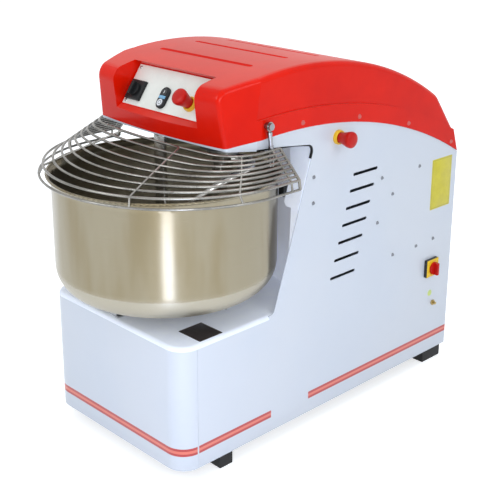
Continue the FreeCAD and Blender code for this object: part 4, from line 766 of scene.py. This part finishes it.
def addEdging():
    # rubber on the side panels' edges, under the head and round the throat's upper corner
    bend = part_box("throat_cheeks")[1]
    path = [
        (trim["front"], bend.z + trim["slope"] * (bend.y - trim["front"])),
        (bend.y, bend.z),
        (bend.y - trim["lean"] * trim["down"], bend.z - trim["down"]),
    ]
    for side, sign in (("right", 1), ("left", -1)):
        mesh = bmesh.new()
        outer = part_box("right_side_panel")[1].x * sign
        verts = [mesh.verts.new((outer - trim["wide"] * sign, y, z)) for y, z in path]
        for pair in zip(verts, verts[1:]):
            mesh.edges.new(pair)
        bmesh.ops.bevel(
            mesh, geom=[verts[1]], offset=trim["round"], offset_type="OFFSET", affect="VERTICES",
            segments=trim["steps"], profile=0.5, material=-1,
        )
        made = bmesh.ops.extrude_edge_only(mesh, edges=mesh.edges[:])
        moved = [part for part in made["geom"] if isinstance(part, bmesh.types.BMVert)]
        bmesh.ops.translate(mesh, vec=(trim["wide"] * sign, 0, 0), verts=moved)
        bmesh.ops.solidify(mesh, geom=mesh.faces[:], thickness=trim["thick"] * sign)
        bmesh.ops.recalc_face_normals(mesh, faces=mesh.faces[:])
        newPiece("throat_edging_" + side, mesh, machinePaint["feet"], "stand")


addStop("front_estop", onPlate(stopShape["across"], stopShape["up"], plateThick))
addStop("side_estop", onSide(stopShape["y"], stopShape["z"]))
addPilotWindow()
addSleeves()
addEdging()
print("fittings are on")


floorLook = {"size": 30.0, "seen": (0.90, 0.90, 0.90), "bounce": (0.80, 0.80, 0.80), "lift": 0.55}


def makeFloor():
    mesh = bmesh.new()
    bmesh.ops.create_grid(mesh, x_segments=1, y_segments=1, size=floorLook["size"] / 2)
    data = bpy.data.meshes.new("floor")
    mesh.to_mesh(data)
    mesh.free()
    floor = bpy.data.objects.new("floor", data)
    bpy.context.scene.collection.objects.link(floor)
    paint = Paint("floor_pale", {"Roughness": 0.9, "Specular IOR Level": 0.0})
    seen = paint.backdropRays()
    paint.feed("Base Color", paint.mix(seen, floorLook["bounce"], floorLook["seen"]))
    lift = paint.node("Emission", {}, {"Color": (1, 1, 1, 1), "Strength": seen * floorLook["lift"]})
    both = paint.node("AddShader", {}, {0: Wire(paint, paint.shader.outputs[0]), 1: lift})
    paint.plug(paint.tree.nodes["Material Output"].inputs["Surface"], both)
    data.materials.append(paint.material)


studio = {
    "left": (0.44, 0.46, 0.50), "right": (0.54, 0.56, 0.60), "above": (0.86, 0.93, 1.0), "level": 0.80,
    "turnOver": (-0.6, 0.8), "riseOver": (0.15, 0.8),
}


def makeWorld():
    # white behind the machine, and a softer room for what lights it
    world = bpy.data.worlds.new("studio")
    bpy.context.scene.world = world
    world.use_nodes = True
    world.node_tree.nodes.clear()
    graph = Graph(world.node_tree)
    way = graph.node("TexCoord", output="Generated")
    across = graph.node("SeparateXYZ", {}, {0: way}, "X")
    up = graph.node("SeparateXYZ", {}, {0: way}, "Z")
    sides = graph.mix(graph.spread(across, *studio["turnOver"], 0, 1), studio["left"], studio["right"])
    room = graph.mix(graph.spread(up, *studio["riseOver"], 0, 1), sides, studio["above"])
    soft = graph.node("Background", {}, {0: room, 1: studio["level"]})
    white = graph.node("Background", {}, {0: (1, 1, 1, 1)})
    both = graph.node("MixShader", {}, {0: graph.backdropRays(), 1: soft, 2: white})
    output = graph.tree.nodes.new("ShaderNodeOutputWorld")
    graph.plug(output.inputs[0], both)


cool = (0.93, 0.97, 1.0)
waist = (0, 0, 0.5)
lamps = {
    "key": {"at": (-1.0, -3.6, 2.6), "aim": waist, "size": (1.8, 1.4), "watts": 34, "tint": cool},
    "side": {"at": (3.6, -0.2, 2.2), "aim": waist, "size": (1.8, 1.4), "watts": 30, "tint": cool},
    "top": {"at": (0.3, 0.4, 3.6), "aim": waist, "size": (2.4, 2.4), "watts": 20, "tint": cool},
    "fill": {
        "at": (2.0, -1.9, 1.25), "aim": (0.1, -0.1, 0.55), "size": (1.0, 1.0), "watts": 20, "tint": cool,
    },
    "strip": {  # low and narrow, for the upright gleam on the bowl
        "at": (0.835, -0.942, 0.24), "aim": (0, -0.273, 0.24), "size": (0.18, 0.44),
        "watts": 1.65, "tint": (0.58, 0.68, 1.0),
    },
}


def makeLamps():
    for name, lamp in lamps.items():
        data = bpy.data.lights.new(name, "AREA")
        data.shape = "RECTANGLE"
        data.size, data.size_y = lamp["size"]
        data.energy = lamp["watts"]
        data.color = lamp["tint"]
        light = bpy.data.objects.new(name, data)
        bpy.context.scene.collection.objects.link(light)
        light.visible_camera = False
        light.location = lamp["at"]
        way = Vector(lamp["aim"]) - Vector(lamp["at"])
        light.rotation_euler = way.to_track_quat("-Z", "Y").to_euler()


cameraLook = {
    "at": (1.8151, -1.7613, 1.3791), "turn": 45.72, "down": 18.23, "roll": 0.29,
    "lens": 74.04, "sensor": 36, "shift": -0.1,
}


def makeCamera():
    data = bpy.data.cameras.new("camera")
    data.lens = cameraLook["lens"]
    data.sensor_width = cameraLook["sensor"]
    data.shift_y = cameraLook["shift"]
    camera = bpy.data.objects.new("camera", data)
    bpy.context.scene.collection.objects.link(camera)
    turn = Matrix.Rotation(math.radians(cameraLook["turn"]), 4, "Z")
    tip = Matrix.Rotation(math.radians(90 - cameraLook["down"]), 4, "X")
    roll = Matrix.Rotation(math.radians(cameraLook["roll"]), 4, "Z")
    camera.matrix_world = Matrix.Translation(cameraLook["at"]) @ turn @ tip @ roll
    bpy.context.scene.camera = camera


makeFloor()
makeWorld()
makeLamps()
makeCamera()
bpy.context.scene.view_settings.view_transform = "Standard"
print("stage is set")
